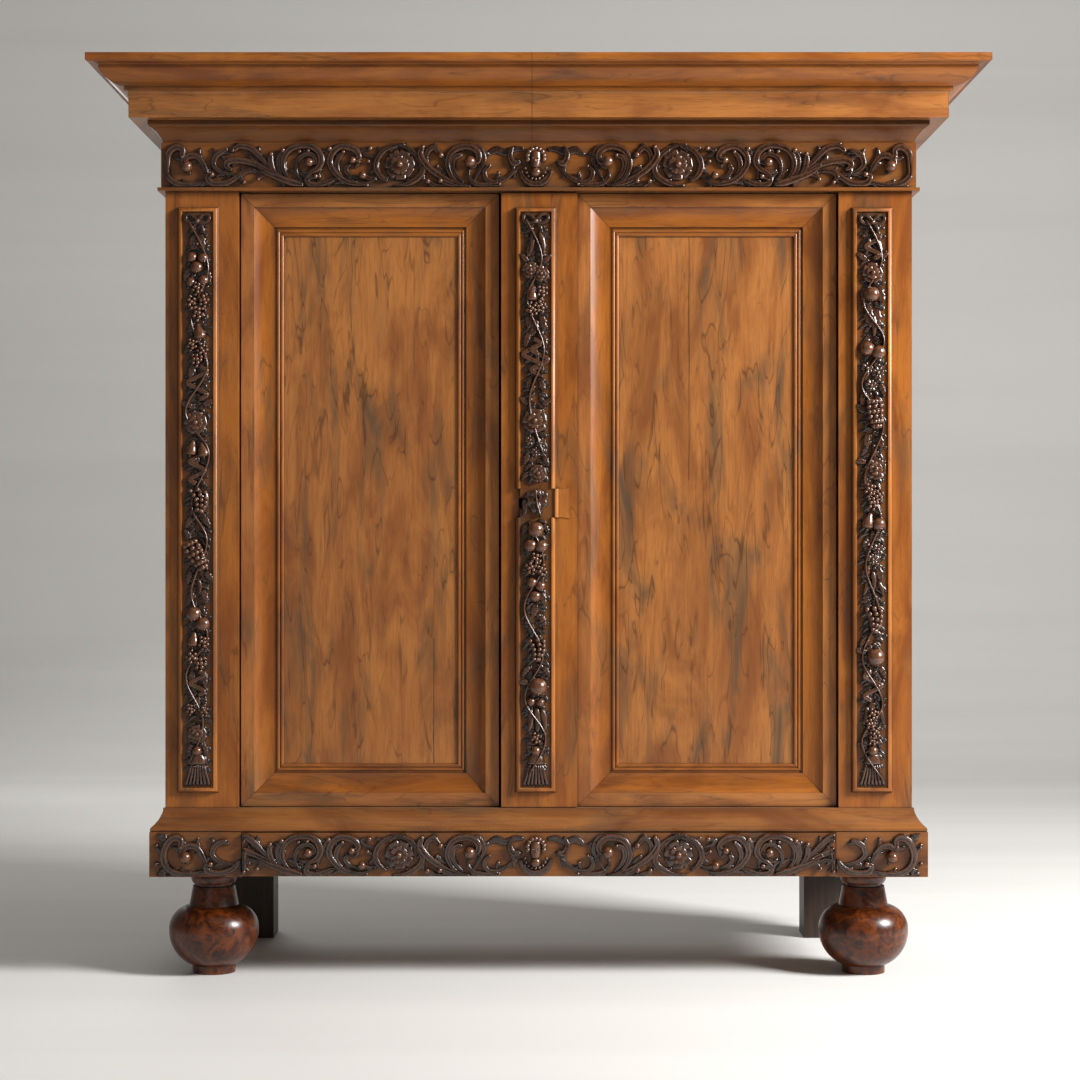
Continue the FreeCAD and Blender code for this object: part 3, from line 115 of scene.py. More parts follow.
def add(tree, kind, inputs=None, **options):
    """Add a shader node with its options, its input values and its links, and give its outputs."""
    node = tree.nodes.new("ShaderNode" + kind)
    for name, value in options.items():
        setattr(node, name, value)
    for key, value in (inputs or {}).items():
        if isinstance(value, bpy.types.NodeSocket):
            tree.links.new(value, node.inputs[key])
        else:
            node.inputs[key].default_value = value
    return node.outputs


def new_material(name, **shader):
    """A material with its shader, whose constants are set on the shader's own sockets."""
    material = bpy.data.materials.new(name)
    material.use_nodes = True
    tree = material.node_tree
    surface = tree.nodes["Principled BSDF"]
    for key, value in shader.items():
        surface.inputs[key.replace("_", " ")].default_value = value
    return material, tree, surface


def wash(tree, under, over, factor, low, high, amount=1.0):
    """Lay one colour over another where a factor goes from low to high, by an amount."""
    share = add(tree, "MapRange", {"Value": factor, "From Min": low, "From Max": high},
                interpolation_type="SMOOTHSTEP")["Result"]
    share = add(tree, "Math", {0: share, 1: amount}, operation="MULTIPLY")[0]
    return add(tree, "Mix", {0: share, 6: under, 7: over}, data_type="RGBA")[2]


def grain_scale(spacing, axis, along):
    """Scale of a pattern whose unit is spacing wide across the grain and along long with it, in mm."""
    scale = [1 / (spacing * MILLIMETRE)] * 3
    scale["XYZ".index(axis)] = 1 / (along * MILLIMETRE)
    return scale


def wood_grain(tree, place, axis):
    """Grain of walnut along one axis, as factors."""
    grain = {}
    for name, spacing, along, detail, distortion, rough in (
        # Broad clouds of paler and browner wood, 80 mm wide and 300 mm long.
        ("clouds", 80, 300, 4.0, 0.8, 0.6),
        # Smoky grey-brown figure: soft blotches 55 mm wide drawn out to 260 mm.
        ("smoke", 55, 260, 4.0, 0.9, 0.52),
        # Lines of the growth rings, which wander 44 mm apart.
        ("veins", 44, 300, 2.0, 1.5, 0.4),
        # Strips 5 mm wide between the pores.
        ("strips", 5, 110, 3.0, 0.3, 0.5),
        # Fibres 1.6 mm apart, drawn coarser than the real 0.1 mm so that they show.
        ("fibres", 1.6, 34, 2.0, 0.0, 0.5),
    ):
        vector = add(tree, "Mapping", {"Vector": place, "Scale": grain_scale(spacing, axis, along)})["Vector"]
        grain[name] = add(tree, "TexNoise", {"Vector": vector, "Scale": 1.0, "Detail": detail, "Roughness": rough,
                                             "Distortion": distortion})["Fac"]
    return grain


def turned_grain(tree, place, axes, mask):
    """Grain factors that run along axes[0] where the mask is 0 and along axes[1] where it is 1."""
    first = wood_grain(tree, place, axes[0])
    if mask is None:
        return first
    second = wood_grain(tree, place, axes[1])
    return {name: add(tree, "Mix", {0: mask, 2: first[name], 3: second[name]}, data_type="FLOAT")[0]
            for name in first}


def past_side(tree, value, middle, half):
    """How far a coordinate lies beyond the nearer side of a centred strip."""
    off = add(tree, "Math", {0: value, 1: middle}, operation="SUBTRACT")[0]
    off = add(tree, "Math", {0: off}, operation="ABSOLUTE")[0]
    return add(tree, "Math", {0: off, 1: half}, operation="SUBTRACT")[0]


def mitre_mask(tree, place, mitre):
    """A mask that is 1 on the upright or returning side of a mitre, and the distance to the mitre's own line."""
    if mitre is None:
        return None, None
    parts = add(tree, "SeparateXYZ", {"Vector": place})
    sides = [past_side(tree, parts[axis], middle, half) for axis, middle, half in mitre]
    apart = add(tree, "Math", {0: sides[0], 1: sides[1]}, operation="SUBTRACT")[0]
    mask = add(tree, "Math", {0: apart, 1: 0.0}, operation="GREATER_THAN")[0]
    return mask, add(tree, "Math", {0: apart}, operation="ABSOLUTE")[0]


def dark_line(tree, under, over, off, wide, amount):
    """Draw a line where the distance to it is under its half width, in mm."""
    return wash(tree, under, over, off, 1.6 * wide * MILLIMETRE, 0.4 * wide * MILLIMETRE, amount)


def joint_line(tree, under, over, place, wander, spot, low, high, wide):
    """Draw a joint or drying crack that runs up a board at one place across it, from low to high."""
    parts = add(tree, "SeparateXYZ", {"Vector": place})
    # It strays by 3 mm with the grain.
    strayed = add(tree, "Math", {0: wander, 1: 3 * MILLIMETRE}, operation="MULTIPLY")[0]
    strayed = add(tree, "Math", {0: parts["X"], 1: strayed}, operation="ADD")[0]
    across = past_side(tree, strayed, spot + 1.5 * MILLIMETRE, 0.0)
    up = past_side(tree, parts["Z"], (low + high) / 2, (high - low) / 2)
    inside = add(tree, "Math", {0: up, 1: 0.0}, operation="LESS_THAN")[0]
    return dark_line(tree, under, over, across, wide, inside)


def wax_and_painted_shade(tree, under, over, reach, amount):
    """Darken hollows and corners closer than reach, in mm: painted shade, together with old wax that has settled
    there.
    """
    open_share = add(tree, "AmbientOcclusion", {"Distance": reach * MILLIMETRE}, samples=8)["AO"]
    return wash(tree, under, over, open_share, 0.85, 0.2, amount)


# By default a board takes a share of 0.3 of painted sheen, and painted shade within 14 mm of its corners.
def polished_walnut(name, axes, mitre=None, smoke=0.62, veins=0.5, tint=1.0, cracks=(), corner=14,
                    painted_sheen=0.3):
    """Polished walnut, waxed for centuries: orange-brown, smoky figure, a soft deep gloss."""
    finish = bpy.context.scene.cupboard_finish
    material, tree, surface = new_material(name, IOR=1.45, Specular_IOR_Level=0.4, Coat_Weight=0.12,
                                           Coat_Roughness=0.16)
    place = add(tree, "TexCoord")["Object"]
    mask, mitre_off = mitre_mask(tree, place, mitre)
    grain = turned_grain(tree, place, axes, mask)
    # The varnished colours are paled by the given share towards the paler pair: a painted sheen of reflected light on
    # flat faces.
    light, middle = [
        tuple((first * (1 - painted_sheen) + second * painted_sheen) * tint for first, second in zip(varnished, pale))
        for varnished, pale in ((finish.wood_light, finish.sheen_light), (finish.wood_middle, finish.sheen_middle))
    ]
    colour = wash(tree, middle, light, grain["clouds"], 0.28, 0.66)
    colour = wash(tree, colour, middle, grain["strips"], 0.42, 0.72, 0.35)
    colour = wash(tree, colour, finish.wood_smoke, grain["smoke"], 0.46, 0.8, smoke)
    # A vein is where the slow noise passes a half. It shows where the wood is smoky.
    off = past_side(tree, grain["veins"], 0.5, 0.0)
    shown = add(tree, "MapRange", {"Value": grain["smoke"], "From Min": 0.36, "From Max": 0.6, "To Max": veins},
                interpolation_type="SMOOTHSTEP")["Result"]
    colour = wash(tree, colour, finish.wood_dark, off, 0.022, 0.0, shown)
    colour = wash(tree, colour, finish.wood_dark, grain["fibres"], 0.5, 0.8, 0.35)
    for spot, low, high, wide in cracks:
        colour = joint_line(tree, colour, finish.carving_dark, place, grain["strips"], spot, low, high, wide)
    if mitre_off is not None:
        colour = dark_line(tree, colour, finish.carving_dark, mitre_off, 0.7, 0.8)
    # Painted shade, with old wax, in hollows and corners within the given reach.
    colour = wax_and_painted_shade(tree, colour, finish.carving_dark, corner, 0.85)
    tree.links.new(colour, surface.inputs["Base Color"])
    rough = add(tree, "MapRange", {"Value": grain["smoke"], "To Min": 0.26, "To Max": 0.42})["Result"]
    tree.links.new(rough, surface.inputs["Roughness"])
    fibres = add(tree, "Math", {0: grain["fibres"], 1: 0.3}, operation="MULTIPLY")[0]
    strips = add(tree, "Math", {0: grain["strips"], 1: 0.5}, operation="MULTIPLY")[0]
    height = add(tree, "Math", {0: fibres, 1: strips}, operation="ADD")[0]
    relief = add(tree, "Bump", {"Height": height, "Strength": 0.2, "Distance": 0.5 * MILLIMETRE})
    tree.links.new(relief["Normal"], surface.inputs["Normal"])
    return material


def plain_material(name, colour, other, spacing, rough, axis="X", joints=None, **shader):
    """A plain surface with a grain or mottle of two colours; joints is the pitch of its boards in metres."""
    material, tree, surface = new_material(name, Roughness=rough, **shader)
    place = add(tree, "TexCoord")["Object"]
    vector = add(tree, "Mapping", {"Vector": place, "Scale": grain_scale(spacing, axis, spacing * 18)})["Vector"]
    grain = add(tree, "TexNoise", {"Vector": vector, "Scale": 1.0, "Detail": 4.0, "Distortion": 0.4})["Fac"]
    mixed = wash(tree, linear(colour), linear(other), grain, 0.35, 0.7)
    if joints:
        side = add(tree, "SeparateXYZ", {"Vector": place})["X"]
        board = add(tree, "Math", {0: side, 1: joints}, operation="SNAP")[0]
        middle = add(tree, "Math", {0: board, 1: joints / 2}, operation="ADD")[0]
        off = past_side(tree, side, middle, joints / 2)
        off = add(tree, "Math", {0: off}, operation="ABSOLUTE")[0]
        mixed = dark_line(tree, mixed, linear("#120c08"), off, 1.2, 1.0)
    tree.links.new(mixed, surface.inputs["Base Color"])
    relief = add(tree, "Bump", {"Height": grain, "Strength": 0.3, "Distance": 0.4 * MILLIMETRE})
    tree.links.new(relief["Normal"], surface.inputs["Normal"])
    return material


def give(nodes, material):
    """Give CAD nodes a material in place of their own."""
    for node in nodes:
        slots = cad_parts[node].material_slots
        if not slots:
            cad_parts[node].data.materials.append(material)
        for place in slots:
            place.material = material


# The boards that an old drying crack or a glued joint runs up, in metres: its place across, its low and high ends
# and its width in mm.
PANEL_CRACKS = {"left": ((-0.229, 0.45, 0.735, 0.6),), "right": ((0.3286, 1.08, 1.62, 0.6),)}
CORNICE_JOINT = ((-0.014, 0.0, 2.0, 0.5),)
# Carcase pieces of raw oak, by the way that their grain runs.
OAK_ACROSS = (
    "foot_blocks", "plinth_back", "base_back_rail", "floor_boards", "lower_shelf", "upper_shelf", "head_boards",
    "ceiling_boards", "dust_boards", "drawer_back", "drawer_bottom", "head_front_rail", "base_front_rail",
)
OAK_DEEP = ("drawer_runners", "base_side_rails", "drawer_side_left", "drawer_side_right", "shelf_cleats")
OAK_COLOURS = ("#5a3d25", "#7f5b3a")
BACK_BOARD_COUNT = 6


class CUPBOARD_OT_finishes(bpy.types.Operator):
    """Give every board, moulding, foot and iron its finish"""

    bl_idname = "cupboard.finishes"
    bl_label = "Wood and iron finishes"

    def execute(self, context):
        # Posts stand in the open in warm, clear and glossy orange varnish, with little painted sheen.
        give(["pilaster_left", "pilaster_right", "centre_pilaster", "side_stiles_left", "side_stiles_right"],
             polished_walnut("polished_walnut_upright", "Z", tint=0.88, painted_sheen=0.12))
        # Grounds of carving are out of reach of a cloth: the same wood, dull and about half as bright.
        give(["frieze_front", "drawer_front", "plinth_corners"],
             polished_walnut("walnut_carved_ground", "X", smoke=0.7, veins=0.4, tint=0.55))
        # The fields' ground is also paled by painted sheen.
        give(["pilaster_field_left", "pilaster_field_right", "centre_fields", "keyhole_cover"],
             polished_walnut("walnut_field_ground", "Z", smoke=0.6, veins=0.4, tint=0.42, painted_sheen=0.5))
        give(["side_rails_left", "side_rails_right", "plinth_sides", "frieze_returns"],
             polished_walnut("polished_walnut_deep", "Y"))
        self.mouldings()
        for word in ("left", "right"):
            self.door(word)
            # Side panels are seldom polished: plain, smoky wood.
            give([f"side_panels_{word}"], polished_walnut(f"walnut_side_panel_{word}", "Z", smoke=0.7))
        give(["front_ball_feet"], burr_walnut())
        # Raw oak, sawn and planed: pale brown, dry and without gloss.
        give(OAK_ACROSS, plain_material("oak_carcase", *OAK_COLOURS, 5, 0.62, "X", IOR=1.5))
        give(OAK_DEEP, plain_material("oak_deep", *OAK_COLOURS, 5, 0.62, "Y", IOR=1.5))
        pitch = (edge("back_boards", 1, "X") - edge("back_boards", 0, "X")) / BACK_BOARD_COUNT
        give(["back_boards"], plain_material("oak_back_boards", *OAK_COLOURS, 5, 0.62, "Z", pitch, IOR=1.5))
        # Oak coloured nearly black: painted shade, so that the rear feet keep in the shade.
        give(["rear_feet"], plain_material("painted_shade_oak", "#24150c", "#3a2414", 9, 0.5, "Z", IOR=1.5))
        # Iron as the smith's fire leaves it: black scale with a dull sheen.
        give(["left_door_pins", "right_door_pins", "pivot_sockets", "lock_case", "left_door_irons"],
             plain_material("forged_iron", "#1b1916", "#35302a", 6, 0.55, "Z", Metallic=1.0))
        # Iron that slides is worn bright and grey.
        give(["lock_bolt", "top_slide_bolt", "bottom_slide_bolt"],
             plain_material("worn_iron", "#5a5650", "#7a746a", 5, 0.38, "Z", Metallic=1.0))
        return {"FINISHED"}

    def mouldings(self):
        """The cornice and the base: their grain follows them round the corners, with a mitre between."""
        half = edge("pilaster_right", 1, "X")
        mitre = ((0, 0.0, half), (1, 0.0, -CASE_FACE))
        # The bed moulding under the corona is darkened by painted shadow of the corona's overhang, and the base
        # moulding over the plinth by dirt and old wax; each takes its own share of painted sheen, and painted shade
        # reaches 24 mm into their corners.
        for node, tint, painted_sheen, cracks in (
            ("crown", 0.95, 0.1, CORNICE_JOINT), ("corona", 0.96, 0.6, CORNICE_JOINT),
            ("bed_moulding", 0.5, 0.0, CORNICE_JOINT), ("base_moulding", 0.62, 0.5, ()),
        ):
            give([node], polished_walnut(f"polished_walnut_{node}", "XY", mitre, 0.6, 0.5, tint, cracks, 24, painted_sheen))

    def door(self, word):
        """A door: its moulding keeps the saturated varnish, and its flat frame and panel are paled by painted sheen.
        """
        moulding = f"{word}_door_moulding"
        low, high = ([edge(moulding, end, axis) for axis in "XZ"] for end in (0, 1))
        mitre = tuple((axis, (low[place] + high[place]) / 2, (high[place] - low[place]) / 2)
                      for place, axis in enumerate((0, 2)))
        give([moulding], polished_walnut(f"varnished_walnut_{word}_moulding", "XZ", mitre, tint=0.8, corner=26,
                                         painted_sheen=0.05))
        give([f"{word}_door_stiles", f"{word}_door_rails"],
             polished_walnut(f"polished_walnut_{word}_door", "XZ", mitre, tint=0.95, painted_sheen=0.6))
        give([f"{word}_door_panel"],
             polished_walnut(f"figured_walnut_{word}_panel", "Z", smoke=0.95, veins=0.7, tint=0.93,
                             cracks=PANEL_CRACKS[word], corner=40, painted_sheen=0.62))


def carved_walnut(name, face, shade_height):
    """Walnut carved by chisel: nearly black in the hollows, painted shade with old wax, and rubbed brown on the high
    spots.
    """
    finish = bpy.context.scene.cupboard_finish
    material, tree, surface = new_material(name, IOR=1.5, Coat_Weight=0.55, Coat_Roughness=0.14)
    place = add(tree, "TexCoord")["Object"]
    # Chisel marks and wear about 6 mm apart.
    vector = add(tree, "Mapping", {"Vector": place, "Scale": grain_scale(6, "Z", 12)})["Vector"]
    wear = add(tree, "TexNoise", {"Vector": vector, "Scale": 1.0, "Detail": 4.0})["Fac"]
    depth = add(tree, "SeparateXYZ", {"Vector": place})["Y"]
    # The colour follows the height over the ground and the wear: darker towards the ground is painted shade with old
    # wax, lighter higher up is rubbed wood.
    height = add(tree, "MapRange", {"Value": depth, "From Min": face, "From Max": face - shade_height,
                                    "To Max": 0.45})["Result"]
    worn = add(tree, "Math", {0: wear, 1: 0.6}, operation="MULTIPLY")[0]
    amount = add(tree, "Math", {0: height, 1: worn}, operation="ADD")[0]
    colour = wash(tree, finish.carving_dark, finish.carving_light, amount, 0.2, 0.85)
    # Painted shade, with old wax, in hollows and corners within 10 mm.
    colour = wax_and_painted_shade(tree, colour, finish.carving_dark, 10, 0.95)
    tree.links.new(colour, surface.inputs["Base Color"])
    rough = add(tree, "MapRange", {"Value": wear, "To Min": 0.2, "To Max": 0.36})["Result"]
    tree.links.new(rough, surface.inputs["Roughness"])
    marks = add(tree, "Bump", {"Height": wear, "Strength": 0.2, "Distance": 0.8 * MILLIMETRE})
    tree.links.new(marks["Normal"], surface.inputs["Normal"])
    return material


def burr_walnut():
    """Burr walnut turned and polished: reddish brown, mottled, with dark eyes 6 to 12 mm across."""
    material, tree, surface = new_material("burr_walnut", IOR=1.45, Roughness=0.3, Coat_Weight=0.12,
                                           Coat_Roughness=0.14)
    place = add(tree, "TexCoord")["Object"]
    # Swirls 34 mm wide round eyes 14 mm apart.
    vector = add(tree, "Mapping", {"Vector": place, "Scale": grain_scale(34, "Z", 34)})["Vector"]
    swirl = add(tree, "TexNoise", {"Vector": vector, "Scale": 1.0, "Detail": 7.0, "Roughness": 0.65,
                                   "Distortion": 1.8})["Fac"]
    vector = add(tree, "Mapping", {"Vector": place, "Scale": grain_scale(14, "Z", 14)})["Vector"]
    eyes = add(tree, "TexVoronoi", {"Vector": vector, "Scale": 1.0, "Randomness": 1.0})["Distance"]
    colour = wash(tree, linear("#2a0f05"), linear("#662f0a"), swirl, 0.36, 0.66)
    colour = wash(tree, colour, linear("#1c0b05"), eyes, 0.3, 0.06, 0.75)
    tree.links.new(colour, surface.inputs["Base Color"])
    relief = add(tree, "Bump", {"Height": swirl, "Strength": 0.2, "Distance": 0.8 * MILLIMETRE})
    tree.links.new(relief["Normal"], surface.inputs["Normal"])
    return material


# The sheet of paper that the cupboard stands on, in metres: it rises behind in a wide curve.
PAPER_HALF_WIDTH = 18.0
PAPER_FRONT = -12.0
PAPER_BACK = 6.0
PAPER_HEIGHT = 7.0
PAPER_CURVE = 2.0
WORLD_STRENGTH = 0.15
# Lamps: name, place in metres, side in metres and power in watts. All of them face the cupboard's middle.
LAMPS = (
    ("key", (4.0, -2.0, 2.9), 1.5, 520.0),
    ("fill", (-2.2, -5.4, 1.8), 3.0, 8.0),
    ("top", (0.2, -1.2, 4.2), 2.6, 12.0),
    ("back", (-1.5, 4.0, 3.2), 2.5, 60.0),
)
LAMP_TARGET = Vector((0, 0, 1.0))
CAMERA_DISTANCE = 5.0
CAMERA_HEIGHT = 0.95
CAMERA_SIDE = 0.003


def studio_paper():
    """The pale paper: a floor whose back edge is drawn up into a wall, with its bend rounded."""
    mesh = bmesh.new()
    bmesh.ops.create_grid(mesh, x_segments=1, y_segments=1, size=(PAPER_BACK - PAPER_FRONT) / 2)
    bmesh.ops.scale(mesh, verts=mesh.verts, vec=(2 * PAPER_HALF_WIDTH / (PAPER_BACK - PAPER_FRONT), 1.0, 1.0))
    bmesh.ops.translate(mesh, verts=mesh.verts, vec=(0, (PAPER_BACK + PAPER_FRONT) / 2, 0))
    bend = [side for side in mesh.edges if all(vert.co.y > 0 for vert in side.verts)]
    drawn = bmesh.ops.extrude_edge_only(mesh, edges=bend)["geom"]
    bmesh.ops.translate(mesh, verts=[item for item in drawn if isinstance(item, bmesh.types.BMVert)],
                        vec=(0, 0, PAPER_HEIGHT))
    bmesh.ops.bevel(mesh, geom=bend, offset=PAPER_CURVE, segments=12, profile=0.5, affect="EDGES", material=-1)
    bmesh.ops.recalc_face_normals(mesh, faces=mesh.faces)
    paper = finish_piece(mesh, "studio_floor", smooth=True)
    # Matt paper: pale, even and without gloss.
    paper.data.materials.append(plain_material("studio_paper", "#dcdad6", "#d6d4d0", 400, 0.85))
    return paper


class CUPBOARD_OT_stage(bpy.types.Operator):
    """Put the cupboard on a pale floor under soft studio light, with the camera at its front"""

    bl_idname = "cupboard.stage"
    bl_label = "Stage"

    def execute(self, context):
        scene = context.scene
        scene.view_settings.view_transform = "Standard"
        studio_paper()
        scene.world = scene.world or bpy.data.worlds.new("studio")
        scene.world.use_nodes = True
        background = scene.world.node_tree.nodes["Background"]
        background.inputs["Color"].default_value = linear("#ebe7e1")
        background.inputs["Strength"].default_value = WORLD_STRENGTH
        for name, place, size, power in LAMPS:
            lamp = bpy.data.lights.new(name, "AREA")
            lamp.size = size
            lamp.energy = power
            lamp_object = bpy.data.objects.new(name, lamp)
            lamp_object.location = place
            lamp_object.rotation_euler = (LAMP_TARGET - Vector(place)).to_track_quat("-Z", "Y").to_euler()
            scene.collection.objects.link(lamp_object)
        camera = bpy.data.cameras.new("camera")
        camera.sensor_width = 36.0
        camera.lens = 76.8
        camera_object = bpy.data.objects.new("camera", camera)
        camera_object.location = (CAMERA_SIDE, CASE_FACE - CAMERA_DISTANCE, CAMERA_HEIGHT)
        camera_object.rotation_euler = (math.radians(90), 0, 0)
        scene.collection.objects.link(camera_object)
        scene.camera = camera_object
        return {"FINISHED"}


def finish_piece(mesh, name, smooth=False):
    """Turn a bmesh into an object at the origin and link it to the scene."""
    data = bpy.data.meshes.new(name)
    for face in mesh.faces:
        face.smooth = smooth
    mesh.to_mesh(data)
    mesh.free()
    piece = bpy.data.objects.new(name, data)
    bpy.context.scene.collection.objects.link(piece)
    return piece


class Ground:
    """A flat face that a carving is planted on: turns places on it, in mm, into the frame.

    Carving that would pass the least or most place across, or the rise above and below, is cut off there.
    """

    def __init__(self, carving, face, middle_x=0.0, middle_z=0.0, mirror=1, least=-1000.0, most=1000.0, rise=2000.0):
        self.carving = carving
        self.face = face
        self.middle_x = middle_x
        self.middle_z = middle_z
        self.mirror = mirror
        self.least = least
        self.most = most
        self.rise = rise

    def place(self, across, up, out):
        """A place on the face, in the frame's metres: out is its height over the face."""
        across = min(max(across, self.least), self.most)
        up = min(max(up, -self.rise), self.rise)
        return Vector((self.middle_x + self.mirror * across * MILLIMETRE, self.face - out * MILLIMETRE,
                       self.middle_z + up * MILLIMETRE))


class Carving:
    """Gathers carved shapes. New ones go into a small mesh, which is emptied into the whole when full.

    Blender's sphere operators slow down as a mesh grows, so the mesh that they work in is kept small.
    """

    FULL = 3000

    def __init__(self):
        self.part = bmesh.new()
        self.whole = bmesh.new()

    def room(self):
        """The small mesh, with room for one more shape."""
        if len(self.part.verts) > self.FULL:
            self.empty()
        return self.part

    def empty(self):
        """Put what has gathered into the whole."""
        data = bpy.data.meshes.new("shapes")
        self.part.to_mesh(data)
        self.whole.from_mesh(data)
        bpy.data.meshes.remove(data)
        self.part.clear()


# How far the back of each carved shape is sunk into its ground, in mm.
SUNK = 1.5


def smooth_line(points, share):
    """A place on a smooth line through the points, and the line's direction there."""
    spans = len(points) - 1
    place = min(share, 0.99999) * spans
    index = int(place)
    part = place - index
    before = points[max(index - 1, 0)]
    start = points[index]
    end = points[index + 1]
    after = points[min(index + 2, spans)]
    spot = []
    heading = []
    for axis in (0, 1):
        a, b, c, d = before[axis], start[axis], end[axis], after[axis]
        spot.append(b + 0.5 * part * (c - a + part * (2 * a - 5 * b + 4 * c - d + part * (3 * (b - c) + d - a))))
        heading.append(0.5 * (c - a) + part * (2 * a - 5 * b + 4 * c - d) + 1.5 * part * part
                       * (3 * (b - c) + d - a))
    length = math.hypot(*heading) or 1.0
    return spot, (heading[0] / length, heading[1] / length)


def between(value, share):
    """A size that is one number, or goes evenly through several."""
    if isinstance(value, (int, float)):
        return value
    place = share * (len(value) - 1)
    index = min(int(place), len(value) - 2)
    return value[index] + (value[index + 1] - value[index]) * (place - index)


def chisel(ground, line, wide, high, rings=12, sides=10, ends=14.0, lobes=0, scallop=0.0, rib=0.0,
           lift=0.0, veins=0.0):
    """Carve one closed shape along a line: wide is its half width and high its height over the lift, in mm.

    It starts as a sphere of so many rings and sides, whose poles become the two ends: more ends makes them blunter.
    The scallop cuts so many lobes into its sides, the rib hollows its middle along the line, and the veins
    furrow it across.
    """
    made = bmesh.ops.create_uvsphere(ground.carving.room(), u_segments=sides, v_segments=rings, radius=1.0)["verts"]
    for vert in made:
        share = math.acos(max(-1.0, min(1.0, vert.co.z))) / math.pi
        around = math.atan2(vert.co.y, vert.co.x)
        spot, heading = smooth_line(line, share)
        end = min(1.0, math.sqrt(max(share * (1 - share) * ends, 0.0)))
        side = math.cos(around)
        top = math.sin(around)
        half = between(wide, share) * end
        if lobes:
            half *= 1 - scallop * (0.5 + 0.5 * math.cos(2 * math.pi * lobes * share))
        across = spot[0] - heading[1] * half * side
        up = spot[1] + heading[0] * half * side
        if top > 0.05:
            rise = top * (1 - rib * (1 - abs(side)) ** 3)
            if veins:
                rise *= 1 - veins * (0.5 + 0.5 * math.cos(2 * math.pi * lobes * (share + 0.18 * abs(side))))
            out = (between(lift, share) + between(high, share) * rise) * end
        elif top < -0.05:
            out = -SUNK
        else:
            out = between(lift, share) * end * 0.6
        vert.co = ground.place(across, up, out)


def round_ball(ground, across, up, radius, lift=0.0, flat=1.0):
    """A berry or bead, most of it proud of the ground."""
    made = bmesh.ops.create_icosphere(ground.carving.room(), subdivisions=2, radius=1.0)["verts"]
    for vert in made:
        out = lift + radius * flat * (0.75 + vert.co.y)
        vert.co = ground.place(across + radius * vert.co.x, up + radius * vert.co.z, max(out, -SUNK))


def turned(across, up, angle, points):
    """Points turned by an angle in degrees and moved to a place."""
    turn = math.radians(angle)
    return [(across + x * math.cos(turn) - y * math.sin(turn), up + x * math.sin(turn) + y * math.cos(turn))
            for x, y in points]


def leaf(ground, across, up, length, angle, width=0.32, curl=0.25, high=5.0, lift=0.0, lobes=4):
    """A lobed leaf from its stalk outwards, bent sideways by its curl."""
    line = turned(across, up, angle, [(0, 0), (length * 0.35, length * curl * 0.25),
                                      (length * 0.7, length * curl * 0.8), (length, length * curl * 1.7)])
    half = length * width
    chisel(ground, line, (half * 0.35, half, half * 0.95, half * 0.6, half * 0.12), high, 18, 12, 10,
           lobes, 0.38, 0.55, lift, 0.35)


def blade(ground, across, up, length, angle, width=0.16, curl=0.2, high=4.0, lift=0.0):
    """A plain pointed leaf with a hollow along its middle."""
    line = turned(across, up, angle, [(0, 0), (length * 0.5, length * curl), (length, length * curl * 0.6)])
    half = length * width
    chisel(ground, line, (half * 0.4, half, half * 0.8, half * 0.1), high, 9, 8, 10, 0, 0, 0.5, lift)


def rose(ground, across, up, radius, angle=0, petals=5, lift=6.0):
    """An open flower: two rings of petals round a domed middle."""
    for ring, (reach, raised) in enumerate(((1.0, 0.0), (0.62, 4.0))):
        for number in range(petals):
            turn = angle + 360 * (number + ring * 0.5) / petals
            line = turned(across, up, turn, [(radius * 0.1, 0), (radius * reach * 0.6, 0), (radius * reach, 0)])
            half = radius * reach * math.pi / petals * 0.95
            chisel(ground, line, (half * 0.4, half, half * 0.9), (2.0, 4.0, 5.5), 8, 10, 14, 0, 0, 0.5,
                   lift + raised)
    round_ball(ground, across, up, radius * 0.24, lift + 6.0)


def daisy(ground, across, up, radius, angle=0, petals=8, lift=4.0):
    """A small flower with one ring of narrow petals."""
    for number in range(petals):
        turn = angle + 360 * number / petals
        line = turned(across, up, turn, [(radius * 0.2, 0), (radius * 0.6, 0), (radius, 0)])
        half = radius * math.pi / petals * 0.8
        chisel(ground, line, (half * 0.5, half, half * 0.7), 4.0, 6, 8, 14, 0, 0, 0.4, lift)
    round_ball(ground, across, up, radius * 0.3, lift + 2.0)


def fruit(ground, across, up, radius, angle=-90, lift=2.0):
    """A round fruit with the star of its dried flower at its end."""
    line = turned(across, up, angle, [(-radius, 0), (0, 0), (radius, 0)])
    chisel(ground, line, radius, radius * 0.95, 12, 14, 4.0, 0, 0, 0, lift)
    tip = turned(across, up, angle, [(radius * 0.55, 0)])[0]
    for number in range(5):
        spike = turned(tip[0], tip[1], angle + 72 * number, [(0, 0), (radius * 0.2, 0), (radius * 0.42, 0)])
        chisel(ground, spike, (radius * 0.16, radius * 0.1), 2.5, 5, 6, 10, lift=lift + radius * 0.62)


def pear(ground, across, up, length, angle=-90, lift=2.0):
    """A pear: narrow at its stalk, full at its end."""
    line = turned(across, up, angle, [(-length / 2, 0), (0, 0), (length / 2, 0)])
    wide = (length * 0.1, length * 0.17, length * 0.3, length * 0.36, length * 0.2)
    chisel(ground, line, wide, tuple(0.95 * value for value in wide), 14, 12, 8.0, lift=lift)
    round_ball(ground, line[-1][0], line[-1][1], length * 0.06, lift + 3)


def berries(ground, across, up, radius, count=7, angle=0, lift=3.0):
    """A bunch of berries, packed by the sunflower's angle."""
    for number in range(count):
        reach = radius * 1.9 * math.sqrt((number + 0.3) / math.pi)
        turn = math.radians(angle + 137.5 * number)
        round_ball(ground, across + reach * math.cos(turn) * 0.8, up + reach * math.sin(turn),
                   radius * (1.0 - 0.02 * number), lift + 5.0 - 0.45 * number)


